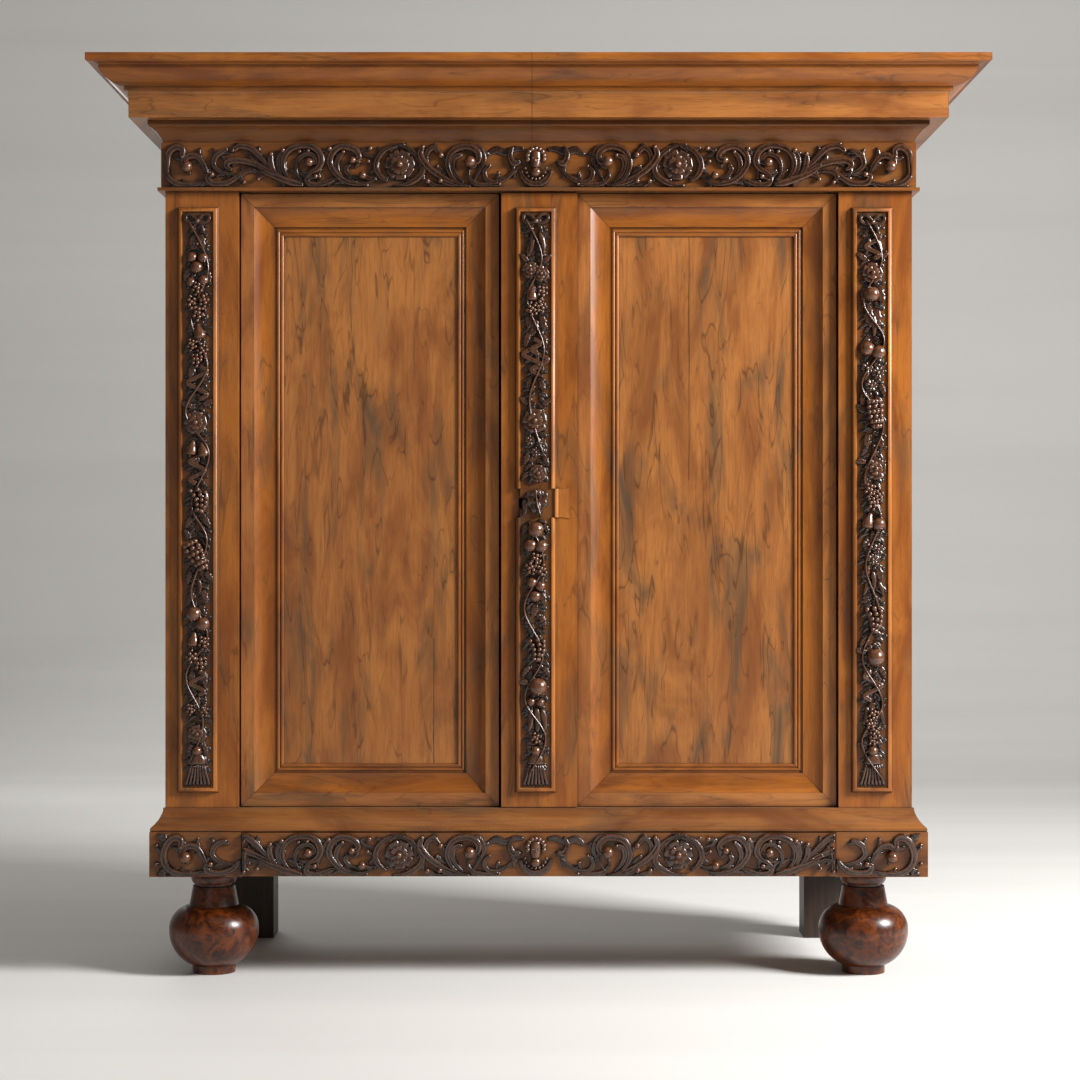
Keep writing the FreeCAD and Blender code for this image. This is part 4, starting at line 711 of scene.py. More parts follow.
def pod(ground, across, up, length, angle, curl=0.12, lift=3.0):
    """An open pod with a row of beans in it."""
    line = turned(across, up, angle, [(0, 0), (length * 0.5, length * curl), (length, 0)])
    chisel(ground, line, (length * 0.04, length * 0.12, length * 0.12, length * 0.03), 4.0, 12, 8, 10,
           lift=lift)
    for number in range(5):
        across, up = smooth_line(line, 0.16 + 0.17 * number)[0]
        round_ball(ground, across, up, length * 0.085, lift + 3.5)


def cone(ground, across, up, length, angle, lift=2.0):
    """A fir cone with its scales in rows."""
    line = turned(across, up, angle, [(-length / 2, 0), (0, 0), (length / 2, 0)])
    chisel(ground, line, (length * 0.2, length * 0.28, length * 0.22, length * 0.08), length * 0.24, 12, 12,
           8.0, lift=lift)
    for row in range(6):
        share = 0.12 + 0.15 * row
        spot, heading = smooth_line(line, share)
        half = between((length * 0.2, length * 0.27, length * 0.21, length * 0.08), share)
        # Rows of four and three scales take turns.
        count = 3 + (row + 1) % 2
        for number in range(count):
            off = (number - (count - 1) / 2) / (count - 1) * 1.5
            round_ball(ground, spot[0] - heading[1] * half * off, spot[1] + heading[0] * half * off,
                       length * 0.085, lift + length * 0.19 * math.sqrt(max(1 - (off * 0.8) ** 2, 0.1)))


def ribbon(ground, points, wide=4.5, high=3.5, lift=2.0):
    """A ribbon that waves over the ground."""
    rings = 5 * (len(points) - 1) + 2
    lifts = [lift + (2.0 if number % 2 else 0.0) for number in range(len(points))]
    chisel(ground, points, wide, high, rings, 10, 40, 0, 0, 0.6, lifts)


def bow(ground, across, up, size):
    """A ribbon tied in a bow: two loops, a knot and two tails."""
    for side in (-1, 1):
        loop = [(0, 0), (0.45, 0.55), (0.95, 0.62), (1.05, 0.15), (0.6, -0.12), (0.05, 0)]
        ribbon(ground, [(across + side * size * x, up + size * y) for x, y in loop], size * 0.15, 5.0, 3.0)
        tail = [(0, 0), (0.4, -0.45), (0.55, -1.0), (0.9, -1.35)]
        ribbon(ground, [(across + side * size * x, up + size * y) for x, y in tail], size * 0.13, 4.0, 2.0)
    round_ball(ground, across, up, size * 0.24, 4.0)


def tassel(ground, across, up, length):
    """A tassel: a cap with a bead over a fan of threads."""
    round_ball(ground, across, up, length * 0.14, 3.0)
    line = [(across, up - length * 0.08), (across, up - length * 0.24), (across, up - length * 0.4)]
    chisel(ground, line, (length * 0.14, length * 0.24, length * 0.26), 8.0, 8, 12, 10, lift=2.0)
    for number in range(7):
        off = (number - 3) / 3
        line = [(across + off * length * 0.16, up - length * 0.34),
                (across + off * length * 0.24, up - length * 0.66), (across + off * length * 0.34, up - length)]
        chisel(ground, line, length * 0.05, 5.0, 7, 8, 30, lift=1.5)


# How far the garlands keep from the foot, the head and the sides of their fields, within the beads, in mm.
GARLAND_FOOT = 22
GARLAND_HEAD = 24
GARLAND_MARGIN = 11
# How far they end over and under the keyhole cover, in mm.
OVER_COVER = 4
UNDER_COVER = 6
# The garlands, from the top down: shape, place across and height over the floor in mm, size and angle.
LEFT_GARLAND = (
    ("bow", 0, 1640, 24, 0), ("leaf", -6, 1612, 46, -118), ("leaf", 6, 1612, 46, -62), ("daisy", 0, 1590, 17, 10),
    ("fruit", -14, 1562, 12, -120), ("fruit", 14, 1560, 12, -60), ("fruit", -2, 1540, 14, -90),
    ("leaf", -18, 1540, 44, -130), ("leaf", 18, 1536, 44, -50), ("fruit", 15, 1512, 12, -70),
    ("fruit", -17, 1508, 11, -110), ("berries", 0, 1494, 6.0, 8), ("berries", 16, 1468, 6.0, 40),
    ("berries", -15, 1462, 6.0, 80), ("berries", 2, 1440, 6.5, 20), ("pear", 4, 1402, 46, -80),
    ("leaf", -12, 1424, 44, -112), ("berries", -14, 1372, 5.5, 10), ("berries", 14, 1356, 6.0, 60),
    ("berries", -2, 1340, 6.0, 30), ("leaf", -8, 1330, 48, -122), ("leaf", 10, 1328, 48, -58),
    ("ribbon", 0, 1290, 70, 1), ("rose", -4, 1204, 29, 12), ("leaf", 14, 1242, 40, 35),
    ("leaf", -14, 1238, 40, 145), ("pear", -14, 1150, 44, -100), ("pear", 14, 1146, 44, -80),
    ("leaf", 0, 1136, 42, -90), ("ribbon", 0, 1100, 54, -1), ("pod", -22, 1062, 64, -70),
    ("pod", -2, 1066, 68, -82), ("pod", 20, 1060, 62, -100), ("leaf", -12, 1000, 38, -140),
    ("leaf", 14, 1000, 40, -42), ("cone", 0, 916, 82, -62), ("leaf", -20, 950, 36, 100), ("leaf", 18, 880, 40, -30),
    ("leaf", -16, 884, 42, -120), ("blade", 2, 868, 44, -88), ("leaf", 12, 842, 42, -55),
    ("leaf", -12, 838, 42, -125), ("fruit", -10, 790, 17, -100), ("fruit", 14, 768, 16, -70),
    ("pear", -10, 736, 44, -96), ("berries", 16, 728, 6.0, 15), ("berries", -14, 696, 6.0, 70),
    ("berries", 8, 682, 6.5, 30), ("leaf", -10, 668, 46, -116), ("leaf", 12, 664, 46, -62),
    ("ribbon", 0, 640, 50, 1), ("leaf", 0, 612, 50, -90), ("berries", -17, 584, 5.0, 20),
    ("berries", 17, 580, 5.0, 60), ("rose", 0, 530, 24, 30), ("leaf", -14, 508, 36, -125),
    ("leaf", 14, 508, 36, -55), ("tassel", 0, 494, 78, 0),
)
RIGHT_GARLAND = (
    ("bow", 0, 1638, 24, 0), ("blade", -8, 1606, 50, -105), ("blade", 8, 1606, 50, -75), ("ribbon", 0, 1585, 50, 1),
    ("rose", 0, 1528, 26, 20), ("leaf", -16, 1556, 36, 130), ("leaf", 16, 1556, 36, 50),
    ("fruit", -2, 1482, 17, -90), ("leaf", -16, 1496, 50, -112), ("leaf", 18, 1494, 50, -66),
    ("leaf", -8, 1454, 60, -102), ("leaf", 10, 1450, 60, -76), ("blade", 0, 1440, 62, -90),
    ("fruit", -14, 1364, 16, -110), ("fruit", 15, 1356, 16, -70), ("daisy", -14, 1322, 18, 5),
    ("daisy", 14, 1312, 19, 18), ("daisy", -4, 1284, 18, 30), ("leaf", 18, 1288, 40, -52),
    ("leaf", -18, 1272, 42, -124), ("cone", 6, 1222, 76, -84), ("leaf", -20, 1226, 38, 125),
    ("leaf", -12, 1180, 44, -110), ("leaf", 16, 1176, 44, -64), ("blade", 2, 1160, 46, -90),
    ("rose", 8, 1104, 27, 0), ("leaf", -16, 1118, 36, 160), ("leaf", -14, 1086, 38, -130),
    ("berries", -8, 1058, 6.0, 10), ("berries", 14, 1046, 6.0, 60), ("berries", 0, 1030, 6.0, 35),
    ("pear", -10, 992, 46, -104), ("fruit", 16, 984, 15, -60), ("leaf", 2, 972, 36, -86),
    ("daisy", -12, 940, 17, 12), ("daisy", 14, 930, 18, 40), ("daisy", 0, 908, 17, 5), ("leaf", -12, 894, 50, -118),
    ("leaf", 12, 892, 50, -60), ("blade", 0, 884, 54, -90), ("blade", -14, 864, 44, -106),
    ("blade", 14, 862, 44, -74), ("pod", -20, 806, 66, -74), ("pod", 0, 810, 72, -88), ("pod", 20, 804, 66, -104),
    ("leaf", -16, 738, 34, -138), ("fruit", 8, 696, 20, -80), ("leaf", -14, 706, 40, 150),
    ("leaf", 18, 676, 38, -46), ("leaf", -10, 676, 42, -112), ("ribbon", 0, 634, 60, -1), ("leaf", 0, 600, 44, -92),
    ("berries", 0, 572, 5.5, 0), ("berries", -6, 552, 5.5, 40), ("berries", 6, 534, 5.5, 80),
    ("berries", 0, 514, 5.0, 20), ("blade", -14, 590, 50, -104), ("blade", 14, 590, 50, -76),
    ("leaf", -14, 520, 34, -120), ("leaf", 14, 520, 34, -60), ("tassel", 0, 494, 78, 0),
)
UPPER_CENTRE_GARLAND = (
    ("bow", 0, 1640, 25, 0), ("blade", -9, 1618, 60, -99), ("blade", 9, 1618, 60, -81),
    ("leaf", -10, 1590, 38, -125), ("leaf", 10, 1590, 38, -55), ("rose", -13, 1534, 21, 8),
    ("rose", 14, 1526, 20, 30), ("leaf", -20, 1552, 34, 120), ("leaf", 20, 1550, 34, 60),
    ("pear", -8, 1484, 44, -98), ("berries", 16, 1486, 6.0, 20), ("berries", 12, 1456, 6.0, 50),
    ("berries", -10, 1448, 6.0, 80), ("leaf", -14, 1442, 48, -112), ("leaf", 14, 1436, 48, -64),
    ("leaf", 0, 1428, 54, -90), ("leaf", -16, 1398, 42, -124), ("leaf", 16, 1394, 42, -58),
    ("ribbon", -10, 1352, 64, 1), ("ribbon", 10, 1340, 60, -1), ("blade", 0, 1366, 50, -90),
    ("leaf", -12, 1300, 40, -120), ("leaf", 12, 1296, 40, -60), ("rose", -2, 1208, 31, 14),
    ("leaf", -18, 1244, 36, 130), ("leaf", 18, 1242, 36, 48), ("daisy", -14, 1166, 16, 10),
    ("daisy", 14, 1160, 16, 30), ("daisy", 0, 1140, 15, 0), ("leaf", -18, 1136, 34, -130),
    ("leaf", 20, 1132, 34, -50), ("rose", 6, 1094, 22, 20), ("leaf", -18, 1096, 30, -150),
)
LOWER_CENTRE_GARLAND = (
    ("fruit", 0, 972, 18, -90), ("leaf", -18, 984, 34, -140), ("leaf", 18, 984, 34, -40),
    ("fruit", -14, 938, 15, -110), ("fruit", 14, 936, 15, -70), ("berries", 0, 908, 6.0, 12),
    ("berries", -12, 890, 6.0, 50), ("berries", 14, 886, 6.0, 90), ("leaf", -18, 900, 36, -130),
    ("fruit", -10, 858, 12, -100), ("fruit", 12, 850, 12, -80), ("fruit", -2, 828, 13, -90),
    ("leaf", -14, 842, 44, -118), ("leaf", 14, 836, 44, -62), ("leaf", 0, 812, 46, -90),
    ("leaf", -14, 788, 40, -122), ("leaf", 14, 786, 40, -58), ("pod", -18, 738, 60, -78), ("pod", 2, 742, 64, -90),
    ("pod", 20, 738, 60, -104), ("leaf", -16, 676, 36, -142), ("leaf", 18, 676, 36, -40),
    ("fruit", 6, 632, 20, -90), ("leaf", -16, 640, 36, 160), ("fruit", -12, 600, 10, -110),
    ("fruit", 12, 598, 10, -70), ("blade", -14, 588, 66, -96), ("blade", 0, 590, 72, -90),
    ("blade", 14, 588, 66, -84), ("berries", 0, 520, 5.5, 0), ("leaf", -10, 520, 40, -118),
    ("leaf", 10, 520, 40, -62), ("tassel", 0, 494, 78, 0),
)


# How the shapes of a garland that are told by size and angle alone are carved: by which function, the share of their
# listed size, and what else it is told.
GARLAND_SHAPES = {
    "blade": (blade, 0.85, (0.13, 0.08, 5.0, 5.0)),
    "rose": (rose, 0.86, ()),
    "daisy": (daisy, 0.78, ()),
    "fruit": (fruit, 1.0, (5.0,)),
    "pear": (pear, 0.86, (5.0,)),
    "pod": (pod, 0.9, (0.12, 5.0)),
    "cone": (cone, 0.86, (4.0,)),
}
# The garlands are this much narrower than their lists say.
GARLAND_NARROWED = 0.84


def garland(ground, parts, low, high, rand):
    """A hanging garland: two layers of small leaves, and the bow, flowers, fruit and tassel in front.

    The leaves and the stem are set out one by one, each a little off its neighbour, with the carver's own unevenness.
    """
    for reach, raised in ((27, 0.0), (20, 2.0)):
        up = high
        side = 1
        while up > low + reach:
            angle = -90 + side * rand.uniform(22, 66)
            start = side * rand.uniform(0, 7)
            lobed = rand.random() < 0.45
            length = reach * rand.uniform(0.85, 1.15)
            if lobed:
                leaf(ground, start, up, length, angle, 0.3, 0.2 * side, 4.5, raised, 3)
            else:
                blade(ground, start, up, length, angle, 0.2, 0.2 * side, 4.0, raised)
            up -= rand.uniform(6, 9)
            side = -side
    stem = []
    up = high
    while up > low:
        stem.append((rand.uniform(12, 26) * (1 if len(stem) % 2 else -1), up))
        up -= rand.uniform(80, 120)
    chisel(ground, stem, 2.3, 3.6, 12 * len(stem), 8, 60, lift=8.0)
    for kind, across, up, size, angle in parts:
        across *= GARLAND_NARROWED
        if kind in GARLAND_SHAPES:
            shape, scale, details = GARLAND_SHAPES[kind]
            shape(ground, across, up, size * scale, angle, *details)
        elif kind == "leaf":
            leaf(ground, across, up, size * 0.72, angle, 0.32, 0.2 * (1 if across < 0 else -1), 5.5, 4.0)
        elif kind == "berries":
            berries(ground, across, up, size * 0.8, 9, angle, 5.0)
        elif kind == "bow":
            bow(ground, across, up, size)
        elif kind == "tassel":
            tassel(ground, across, up, size)
        elif kind == "ribbon":
            wave = [(across + angle * size * 0.3 * math.sin(number * math.pi / 2), up + size * (0.55 - number / 5.5))
                    for number in range(7)]
            ribbon(ground, wave, 5.0, 4.5, 6.0)


# Tendrils of one half of a carved band, from the end inwards: greatest half width in mm, radius of the
# eye it ends in, and its line as places from the middle in mm with heights as shares of half the band.
TENDRILS = (
    (6.5, 13, ((714, -0.67), (721, -0.17), (735, 0.31), (751, 0.45), (766, 0.29), (768, -0.02), (761, -0.11))),
    (6.5, 5, ((703, -0.75), (728, -0.88), (753, -0.98), (784, -0.9), (804, -0.52), (809, 0.02), (801, 0.56),
     (786, 0.85), (771, 0.75), (772, 0.37))),
    (6, 6.5, ((612, -0.25), (638, -0.32), (656, -0.63), (674, -0.86), (696, -0.93), (712, -0.83), (717, -0.56),
     (707, -0.48))),
    (5.5, 0, ((649, -0.52), (685, -0.36), (703, -0.02), (699, 0.41), (685, 0.64), (672, 0.75))),
    (6.5, 0, ((552, -0.67), (587, -0.25), (617, 0.06), (647, 0.21), (669, 0.18), (676, -0.06), (662, -0.29))),
    (6, 4.5, ((560, -0.52), (588, 0.02), (606, 0.45), (624, 0.81), (647, 0.91), (662, 0.68))),
    (4.5, 5, ((595, -0.44), (615, -0.27), (633, -0.31), (646, -0.56), (638, -0.86))),
    (3.5, 5, ((547, -0.75), (574, -0.52), (597, -0.48), (607, -0.71))),
    (5.5, 6, ((549, -0.83), (572, -0.36), (580, 0.14), (579, 0.52))),
    (4.5, 6, ((549, -0.83), (560, -0.29), (563, 0.25), (554, 0.7))),
    (6.5, 0, ((614, 0.02), (591, -0.36), (558, -0.67), (530, -0.88), (508, -0.98))),
    (6.5, 0, ((508, -0.98), (535, -0.75), (551, -0.29), (553, 0.21), (542, 0.68), (521, 0.91), (497, 0.93),
     (478, 0.68), (470, 0.21), (478, -0.17), (494, -0.4), (506, -0.67))),
    (5, 10, ((510, -0.9), (524, -0.36), (522, 0.18), (508, 0.48), (490, 0.48), (483, 0.14), (497, 0.1))),
    (3, 4.5, ((533, 0.81), (526, 0.87), (518, 0.64))),
    (3, 4.5, ((510, 0.87), (499, 0.68))),
    (5.5, 6, ((429, -0.67), (444, -0.71), (462, -0.88), (480, -0.98), (497, -0.9), (501, -0.67), (483, -0.57))),
    (4, 6, ((444, -0.71), (437, -0.52), (454, 0.02), (460, 0.48), (453, 0.77))),
    (6.5, 8, ((349, -0.63), (374, -0.9), (397, -0.92), (422, -0.75), (442, -0.36), (452, 0.1), (447, 0.56),
     (431, 0.87), (412, 0.87), (395, 0.68), (389, 0.33), (403, 0.21))),
    (5, 5, ((415, -0.83), (431, -0.44), (437, -0.06), (433, 0.33), (423, 0.62))),
    (4.5, 0, ((388, -0.67), (408, -0.52), (417, -0.21), (408, 0.02))),
    (4, 6, ((352, 0.37), (372, 0.48), (381, 0.72), (365, 0.79))),
    (3, 5, ((349, -0.06), (369, 0.16))),
    (4, 9, ((347, -0.52), (363, -0.67), (381, -0.52))),
    (5.5, 0, ((288, 0.97), (309, 0.95), (333, 0.72), (348, 0.33), (352, -0.13), (342, -0.56), (326, -0.83))),
    (5.5, 0, ((322, 0.97), (302, 0.97), (279, 0.75), (262, 0.4), (251, -0.05), (254, -0.45), (271, -0.78),
     (291, -0.98), (318, -1.03))),
    (6.5, 5.5, ((153, -1.05), (186, -0.85), (217, -0.49), (242, -0.03), (256, 0.48), (251, 0.86))),
    (5, 7, ((223, -0.45), (241, 0.08), (242, 0.57), (227, 0.84), (212, 0.46))),
    (3.5, 4.5, ((202, -0.45), (219, -0.07))),
    (6.5, 13, ((145, -1.07), (176, -0.85), (193, -0.36), (197, 0.13), (188, 0.62), (169, 0.86), (147, 0.86),
     (131, 0.57), (132, 0.17), (149, 0.13))),
    (5.5, 4.5, ((161, -0.89), (178, -0.49), (186, -0.05), (182, 0.35), (168, 0.46))),
    (4.5, 0, ((149, -1.03), (124, -0.14), (118, 0.31), (128, 0.84), (145, 0.93))),
    (4.5, 4, ((149, -0.14), (152, -0.54), (138, -0.89), (112, -0.98), (85, -0.94))),
    (4.5, 4, ((35, 0.17), (54, -0.32), (72, -0.65), (93, -0.85), (112, -0.72), (117, -0.32), (106, -0.05))),
    (3, 4.5, ((91, -0.76), (87, -0.4))),
    (4.5, 6, ((153, -1.07), (182, -0.98), (198, -0.87), (213, -0.78))),
    (4.5, 6, ((182, -1.03), (219, -1.03), (240, -0.8))),
    (6, 0, ((54, 0.93), (62, 0.48), (54, 0.08), (39, 0.17))),
)
# Places from the middle of a band, in mm: its two roses, and where only the longer plinth reaches.
BAND_ROSE = 301
BAND_CORNER = 815
# How far a band keeps from the edges of its board, in mm.
BAND_MARGIN = 2


def tendril(ground, line, wide, eye):
    """A stalk that swells along its line, hollowed along its middle, and ends in a round eye."""
    tip = 0.9 if eye else 0.4
    chisel(ground, line, (wide * 0.3, wide, wide * 1.3, wide * 1.35, wide * tip), wide * 1.8,
           5 * len(line) + 4, 12, 60, rib=0.75, lift=(0, 1.5, 3.0))
    if eye:
        round_ball(ground, line[-1][0], line[-1][1], eye, 4.0)
    # Pointed leaves spring from the thicker stalks by turns at their two sides.
    count = len(line) - 2 if wide > 4 else 0
    for number in range(count):
        spot, heading = smooth_line(line, (number + 0.8) / (count + 1.2))
        turn = math.degrees(math.atan2(heading[1], heading[0]))
        side = 1 if number % 2 else -1
        start_x = spot[0] - heading[1] * side * wide * 0.5
        start_y = spot[1] + heading[0] * side * wide * 0.5
        blade(ground, start_x, start_y, wide * 4.2, turn + side * 40, 0.2, -side * 0.28, wide * 1.1, 1.0)


def band_half(ground, tall, low, high):
    """The part of one half of a carved band that lies between two places from its middle, in mm."""
    # Tendrils end this far from the ends of their board, and keep this share of its height.
    margin = 5
    kept_height = 0.95
    for wide, eye, line in TENDRILS:
        middle = sum(across for across, share in line) / len(line)
        if low < middle < high:
            kept = [(min(max(across, low + margin), high - margin), share * tall * kept_height)
                    for across, share in line]
            tendril(ground, kept, wide, eye)
    if low < BAND_ROSE < high:
        rose(ground, BAND_ROSE, 0, tall * 0.72, 10, 7, 3.0)
    # The plinth is longer than the frieze, so its corners have two more leaves and berries.
    if high > BAND_CORNER:
        for side in (-1, 1):
            leaf(ground, 800, side * tall * 0.62, 34, side * 34, 0.34, side * 0.2, 7)
            round_ball(ground, 824, side * tall * 0.45, 5)


def cover_leaves(ground, rise):
    """Leaves that hang over the keyhole cover, with the garland's stem across them."""
    leaf(ground, -13, rise - 2, 52, -84, 0.3, 0.08, 9, 1, 3)
    leaf(ground, 18, rise - 2, 54, -96, 0.3, -0.08, 8, 1, 3)
    blade(ground, -26, 8, 36, -92, 0.2, 0.1, 5, 1)
    blade(ground, 2, 6, 34, -88, 0.2, 0.1, 6, 2)
    chisel(ground, [(0, rise), (3, 0), (12, -rise)], 2.2, 3.6, 12, 8, 40, lift=8)
    for angle in (-140, -115, -65, -40):
        blade(ground, 2, rise - 1, 20, angle, 0.26, 0.1, 5, 6)


def boss(ground, tall):
    """The middle of a band: a small calm mask with curled hair over a beaded collar, and cloth at its sides."""
    # The head, with its curls.
    chisel(ground, [(0, -9), (0, 12), (0, 32)], (10, 15, 14), 17, 14, 16, 8.0)
    for number in range(9):
        turn = math.radians(-15 + 210 * number / 8)
        round_ball(ground, 18 * math.cos(turn), 16 + 19 * math.sin(turn), 6.5, 4)
    # The collar: a lobed cloth round the shoulders, with beads inside it.
    collar = []
    for number in range(9):
        turn = math.radians(188 + 164 * number / 8)
        collar.append((34 * math.cos(turn), -3 + (tall - 9) * math.sin(turn)))
        round_ball(ground, 23 * math.cos(turn), -4 + (tall - 20) * math.sin(turn), 3.6, 4)
    chisel(ground, collar, (4, 9, 9, 9, 4), 9, 30, 12, 60, 9, 0.15, 0.6)
    round_ball(ground, 0, -16, 11, 2, 0.8)
    # Eyes, and cloth that hangs out to both sides.
    for side in (-1, 1):
        round_ball(ground, side * 6, 13, 2.2, 14)
        cloth = [(side * 24, 34), (side * 44, 35), (side * 66, 27), (side * 86, 33), (side * 108, 20)]
        chisel(ground, cloth, (4, 7, 8, 9, 3), 5, 22, 12, 20, rib=0.6)
    # Nose and mouth.
    chisel(ground, [(0, 12), (0, 8), (0, 4)], (1.6, 2.2, 3.0), 3.5, 6, 8, 20, lift=15)
    chisel(ground, [(-4.5, -1), (0, -2), (4.5, -1)], 1.5, 1.6, 6, 8, 20, lift=15)


def carved_piece(carving, name, body, material):
    """Close a carving: faces outward, smooth, on its body and in its slot."""
    carving.empty()
    bmesh.ops.recalc_face_normals(carving.whole, faces=carving.whole.faces)
    piece = finish_piece(carving.whole, name, smooth=True)
    piece.data.materials.append(material)
    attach(piece, body)


# The lip's front lies this far in front of the pilaster's face, and it is this thick, in metres.
LIP_FRONT = 0.0018
LIP_THICK = 0.0016
# How far the beads lie in from the edges of their fields, and what the saw that parts them takes, in metres.
BEAD_INSET = 0.003
BEAD_SAW = 0.0005
# The bead's outline from its outer foot inwards and how far it stands out, in mm: it slopes away outwards.
BEAD = ((0, 0), (0.6, 1.2), (2, 2.5), (4, 3.6), (6, 4.2), (7.6, 4), (8.6, 2.8), (9, 0))


def bead_frame(name, body, across, upright, cuts, material):
    """A moulded bead mitred round a raised field, then sawn off square past each cut: its place and its way."""
    mesh = bmesh.new()
    place = Matrix.Translation(((across[0] + across[1]) / 2, FIELD_FACE, (upright[0] + upright[1]) / 2))
    size = Matrix.Diagonal(((across[1] - across[0]) / 2, (upright[1] - upright[0]) / 2, 1, 1))
    bmesh.ops.create_grid(mesh, x_segments=1, y_segments=1, size=1.0,
                          matrix=place @ Matrix.Rotation(math.radians(90), 4, "X") @ size)
    mesh.faces.ensure_lookup_table()
    # The field is inset once for each step of the bead's outline. What is left of it is then taken out.
    field = mesh.faces[0]
    for before, after in zip(BEAD, BEAD[1:]):
        bmesh.ops.inset_individual(mesh, faces=[field], thickness=(after[0] - before[0]) * MILLIMETRE,
                                   depth=(after[1] - before[1]) * MILLIMETRE, use_even_offset=True)
    bmesh.ops.delete(mesh, geom=[field], context="FACES_ONLY")
    bmesh.ops.bridge_loops(mesh, edges=[side for side in mesh.edges if side.is_boundary])
    for spot, way in cuts:
        whole = [*mesh.verts, *mesh.edges, *mesh.faces]
        bmesh.ops.bisect_plane(mesh, geom=whole, plane_co=spot, plane_no=way, clear_outer=True)
        bmesh.ops.holes_fill(mesh, edges=[side for side in mesh.edges if side.is_boundary], sides=0)
    bmesh.ops.recalc_face_normals(mesh, faces=mesh.faces)
    piece = finish_piece(mesh, name, smooth=True)
    piece.modifiers.new("edges", "EDGE_SPLIT").split_angle = math.radians(40)
    piece.data.materials.append(material)
    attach(piece, body)


def cover_lip(material):
    """The thin lip at the right of the keyhole cover, which flares at its corners and hides the cover's groove."""
    right = edge("keyhole_cover", 1, "X")
    middle = (COVER_LOW + COVER_HIGH) / 2
    half = (COVER_HIGH - COVER_LOW) / 2
    # Two places of the neck, in mm past the cover's right end and past its half height.
    neck = ((-3.0, -0.6), (6.0, -0.4))
    # The tip is a shallow hollow, reach past the cover's end, between two flares.
    reach, flare_reach, flare_rise = 19.5, 3.5, 2.5
    outline = [(right + past * MILLIMETRE, middle - half - up * MILLIMETRE) for past, up in neck]
    steps = 6
    for step in range(-steps, steps + 1):
        share = step / steps
        past = reach + flare_reach * abs(share) ** 3
        outline.append((right + past * MILLIMETRE, middle + share * (half + flare_rise * MILLIMETRE)))
    outline += [(right + past * MILLIMETRE, middle + half + up * MILLIMETRE) for past, up in reversed(neck)]
    mesh = bmesh.new()
    front = mesh.faces.new([mesh.verts.new((x, CASE_FACE - LIP_FRONT, z)) for x, z in outline])
    drawn = bmesh.ops.extrude_face_region(mesh, geom=[front])["geom"]
    bmesh.ops.translate(mesh, verts=[item for item in drawn if isinstance(item, bmesh.types.BMVert)],
                        vec=(0, LIP_THICK, 0))
    bmesh.ops.recalc_face_normals(mesh, faces=mesh.faces)
    piece = finish_piece(mesh, "cover_lip")
    piece.data.materials.append(material)
    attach(piece, "keyhole_cover")


class CUPBOARD_OT_field_beads(bpy.types.Operator):
    """Run a moulded bead round each raised field"""

    bl_idname = "cupboard.field_beads"
    bl_label = "Beads of the fields"

    def execute(self, context):
        # Beads: clear orange wood with a bright edge, under the default share of painted sheen.
        material = polished_walnut("polished_walnut_beads", "Z")
        upright = (edge("pilaster_field_left", 0, "Z") + BEAD_INSET, edge("pilaster_field_left", 1, "Z") - BEAD_INSET)
        # The bead of the middle field is sawn into three lengths, and the cover keeps the right side of its own.
        half_cover = (centre_x("keyhole_cover"), 0, 0)
        for name, body, node, cuts in (
            ("field_bead_left", "case", "pilaster_field_left", ()),
            ("field_bead_right", "case", "pilaster_field_right", ()),
            ("field_bead_lower", "right_door", "centre_fields", (((0, 0, COVER_LOW - BEAD_SAW), (0, 0, 1)),)),
            ("field_bead_upper", "right_door", "centre_fields", (((0, 0, COVER_HIGH + BEAD_SAW), (0, 0, -1)),)),
            ("cover_bead", "keyhole_cover", "keyhole_cover", (
                ((0, 0, COVER_LOW), (0, 0, -1)), ((0, 0, COVER_HIGH), (0, 0, 1)), (half_cover, (-1, 0, 0)))),
        ):
            across = (edge(node, 0, "X") + BEAD_INSET, edge(node, 1, "X") - BEAD_INSET)
            bead_frame(name, body, across, upright, cuts, material)
        cover_lip(material)
        return {"FINISHED"}


class CUPBOARD_OT_garlands(bpy.types.Operator):
    """Carve the garlands of the pilasters and the leaf on the keyhole cover"""

    bl_idname = "cupboard.garlands"
    bl_label = "Garlands"

    def execute(self, context):
        settings = context.scene.cupboard_carving
        rand = random.Random(settings.seed)
        material = carved_walnut("carved_walnut_garland", FIELD_FACE, settings.garlands_shade_height)
        low = edge("pilaster_field_left", 0, "Z") / MILLIMETRE + GARLAND_FOOT
        high = edge("pilaster_field_left", 1, "Z") / MILLIMETRE - GARLAND_HEAD
        cover_low = COVER_LOW / MILLIMETRE
        cover_high = COVER_HIGH / MILLIMETRE
        half = (edge("pilaster_field_left", 1, "X") - edge("pilaster_field_left", 0, "X")) / 2 / MILLIMETRE
        reach = half - GARLAND_MARGIN
        for word, body, node, parts, bottom, top in (
            ("left", "case", "pilaster_field_left", LEFT_GARLAND, low, high),
            ("right", "case", "pilaster_field_right", RIGHT_GARLAND, low, high),
            ("centre_upper", "right_door", "centre_fields", UPPER_CENTRE_GARLAND, cover_high + OVER_COVER, high),
            ("centre_lower", "right_door", "centre_fields", LOWER_CENTRE_GARLAND, low, cover_low - UNDER_COVER),
        ):
            carving = Carving()
            garland(Ground(carving, FIELD_FACE, centre_x(node), 0.0, 1, -reach, reach), parts, bottom, top, rand)
            carved_piece(carving, f"garland_{word}", body, material)
        carving = Carving()
        rise = (cover_high - cover_low) / 2 - 1
        ground = Ground(carving, edge("keyhole_cover", 0, "Y"), centre_x("centre_fields"),
                        (COVER_LOW + COVER_HIGH) / 2, 1, -reach, reach, rise)
        cover_leaves(ground, rise)
        carved_piece(carving, "cover_leaf", "keyhole_cover", material)
        return {"FINISHED"}


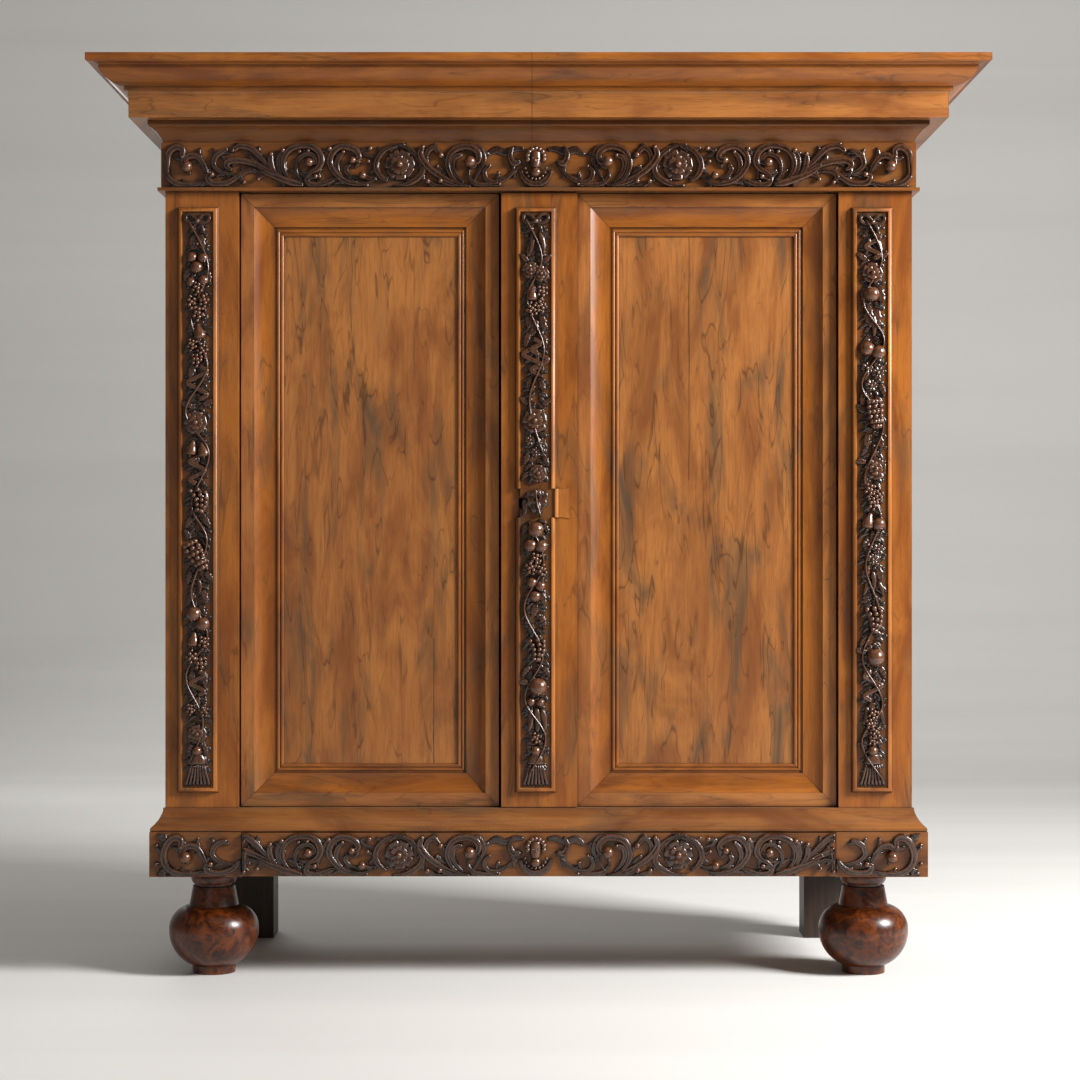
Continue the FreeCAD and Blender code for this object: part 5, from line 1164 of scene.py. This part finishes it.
class CUPBOARD_OT_bands(bpy.types.Operator):
    """Carve the scrolling leaves of the frieze and the plinth"""

    bl_idname = "cupboard.bands"
    bl_label = "Carved bands"

    def execute(self, context):
        shade_height = context.scene.cupboard_carving.bands_shade_height
        joint = edge("drawer_front", 1, "X") / MILLIMETRE
        plinth_end = edge("plinth_corners", 1, "X") / MILLIMETRE
        frieze_end = edge("pilaster_right", 1, "X") / MILLIMETRE
        for word, node, face, fillet, parts in (
            ("frieze", "frieze_front", FRIEZE_FACE, FRIEZE_FILLET, (("frieze_scrolls", "case", -1, frieze_end),)),
            ("plinth", "drawer_front", PLINTH_FACE, 0.0, (("drawer_scrolls", "plinth_drawer", -1, joint),
                                                          ("corner_scrolls", "case", joint, plinth_end))),
        ):
            material = carved_walnut(f"carved_walnut_{word}", face, shade_height)
            low = edge(node, 0, "Z") + fillet
            high = edge(node, 1, "Z")
            tall = (high - low) / 2 / MILLIMETRE - BAND_MARGIN
            for name, body, start, end in parts:
                carving = Carving()
                for mirror in (-1, 1):
                    ground = Ground(carving, face, 0.0, (low + high) / 2, mirror, start + BAND_MARGIN,
                                    end - BAND_MARGIN, tall)
                    band_half(ground, tall, start, end)
                if start < 0:
                    boss(Ground(carving, face, centre_x("centre_fields"), (low + high) / 2, rise=tall), tall)
                carved_piece(carving, name, body, material)
        return {"FINISHED"}


class CUPBOARD_PT_panel(bpy.types.Panel):
    """Lists what the cupboard is made of"""

    bl_label = "Cupboard"
    bl_space_type = "VIEW_3D"
    bl_region_type = "UI"
    bl_category = "Cupboard"

    def draw(self, context):
        for group in (context.scene.cupboard_finish, context.scene.cupboard_carving):
            for name in group.bl_rna.properties.keys():
                if name not in ("rna_type", "name"):
                    self.layout.prop(group, name)
        for operator in OPERATORS:
            self.layout.operator(operator.bl_idname)


OPERATORS = (CUPBOARD_OT_finishes, CUPBOARD_OT_field_beads, CUPBOARD_OT_garlands, CUPBOARD_OT_bands,
             CUPBOARD_OT_stage)
CLASSES = (CupboardFinish, CupboardCarving, *OPERATORS, CUPBOARD_PT_panel)


def register():
    for item in CLASSES:
        bpy.utils.register_class(item)
    bpy.types.Scene.cupboard_finish = bpy.props.PointerProperty(type=CupboardFinish)
    bpy.types.Scene.cupboard_carving = bpy.props.PointerProperty(type=CupboardCarving)


def unregister():
    del bpy.types.Scene.cupboard_carving
    del bpy.types.Scene.cupboard_finish
    for item in reversed(CLASSES):
        bpy.utils.unregister_class(item)


def main():
    register()
    bpy.ops.cupboard.finishes()
    bpy.ops.cupboard.field_beads()
    bpy.ops.cupboard.garlands()
    bpy.ops.cupboard.bands()
    bpy.ops.cupboard.stage()


if __name__ == "__main__":
    main()
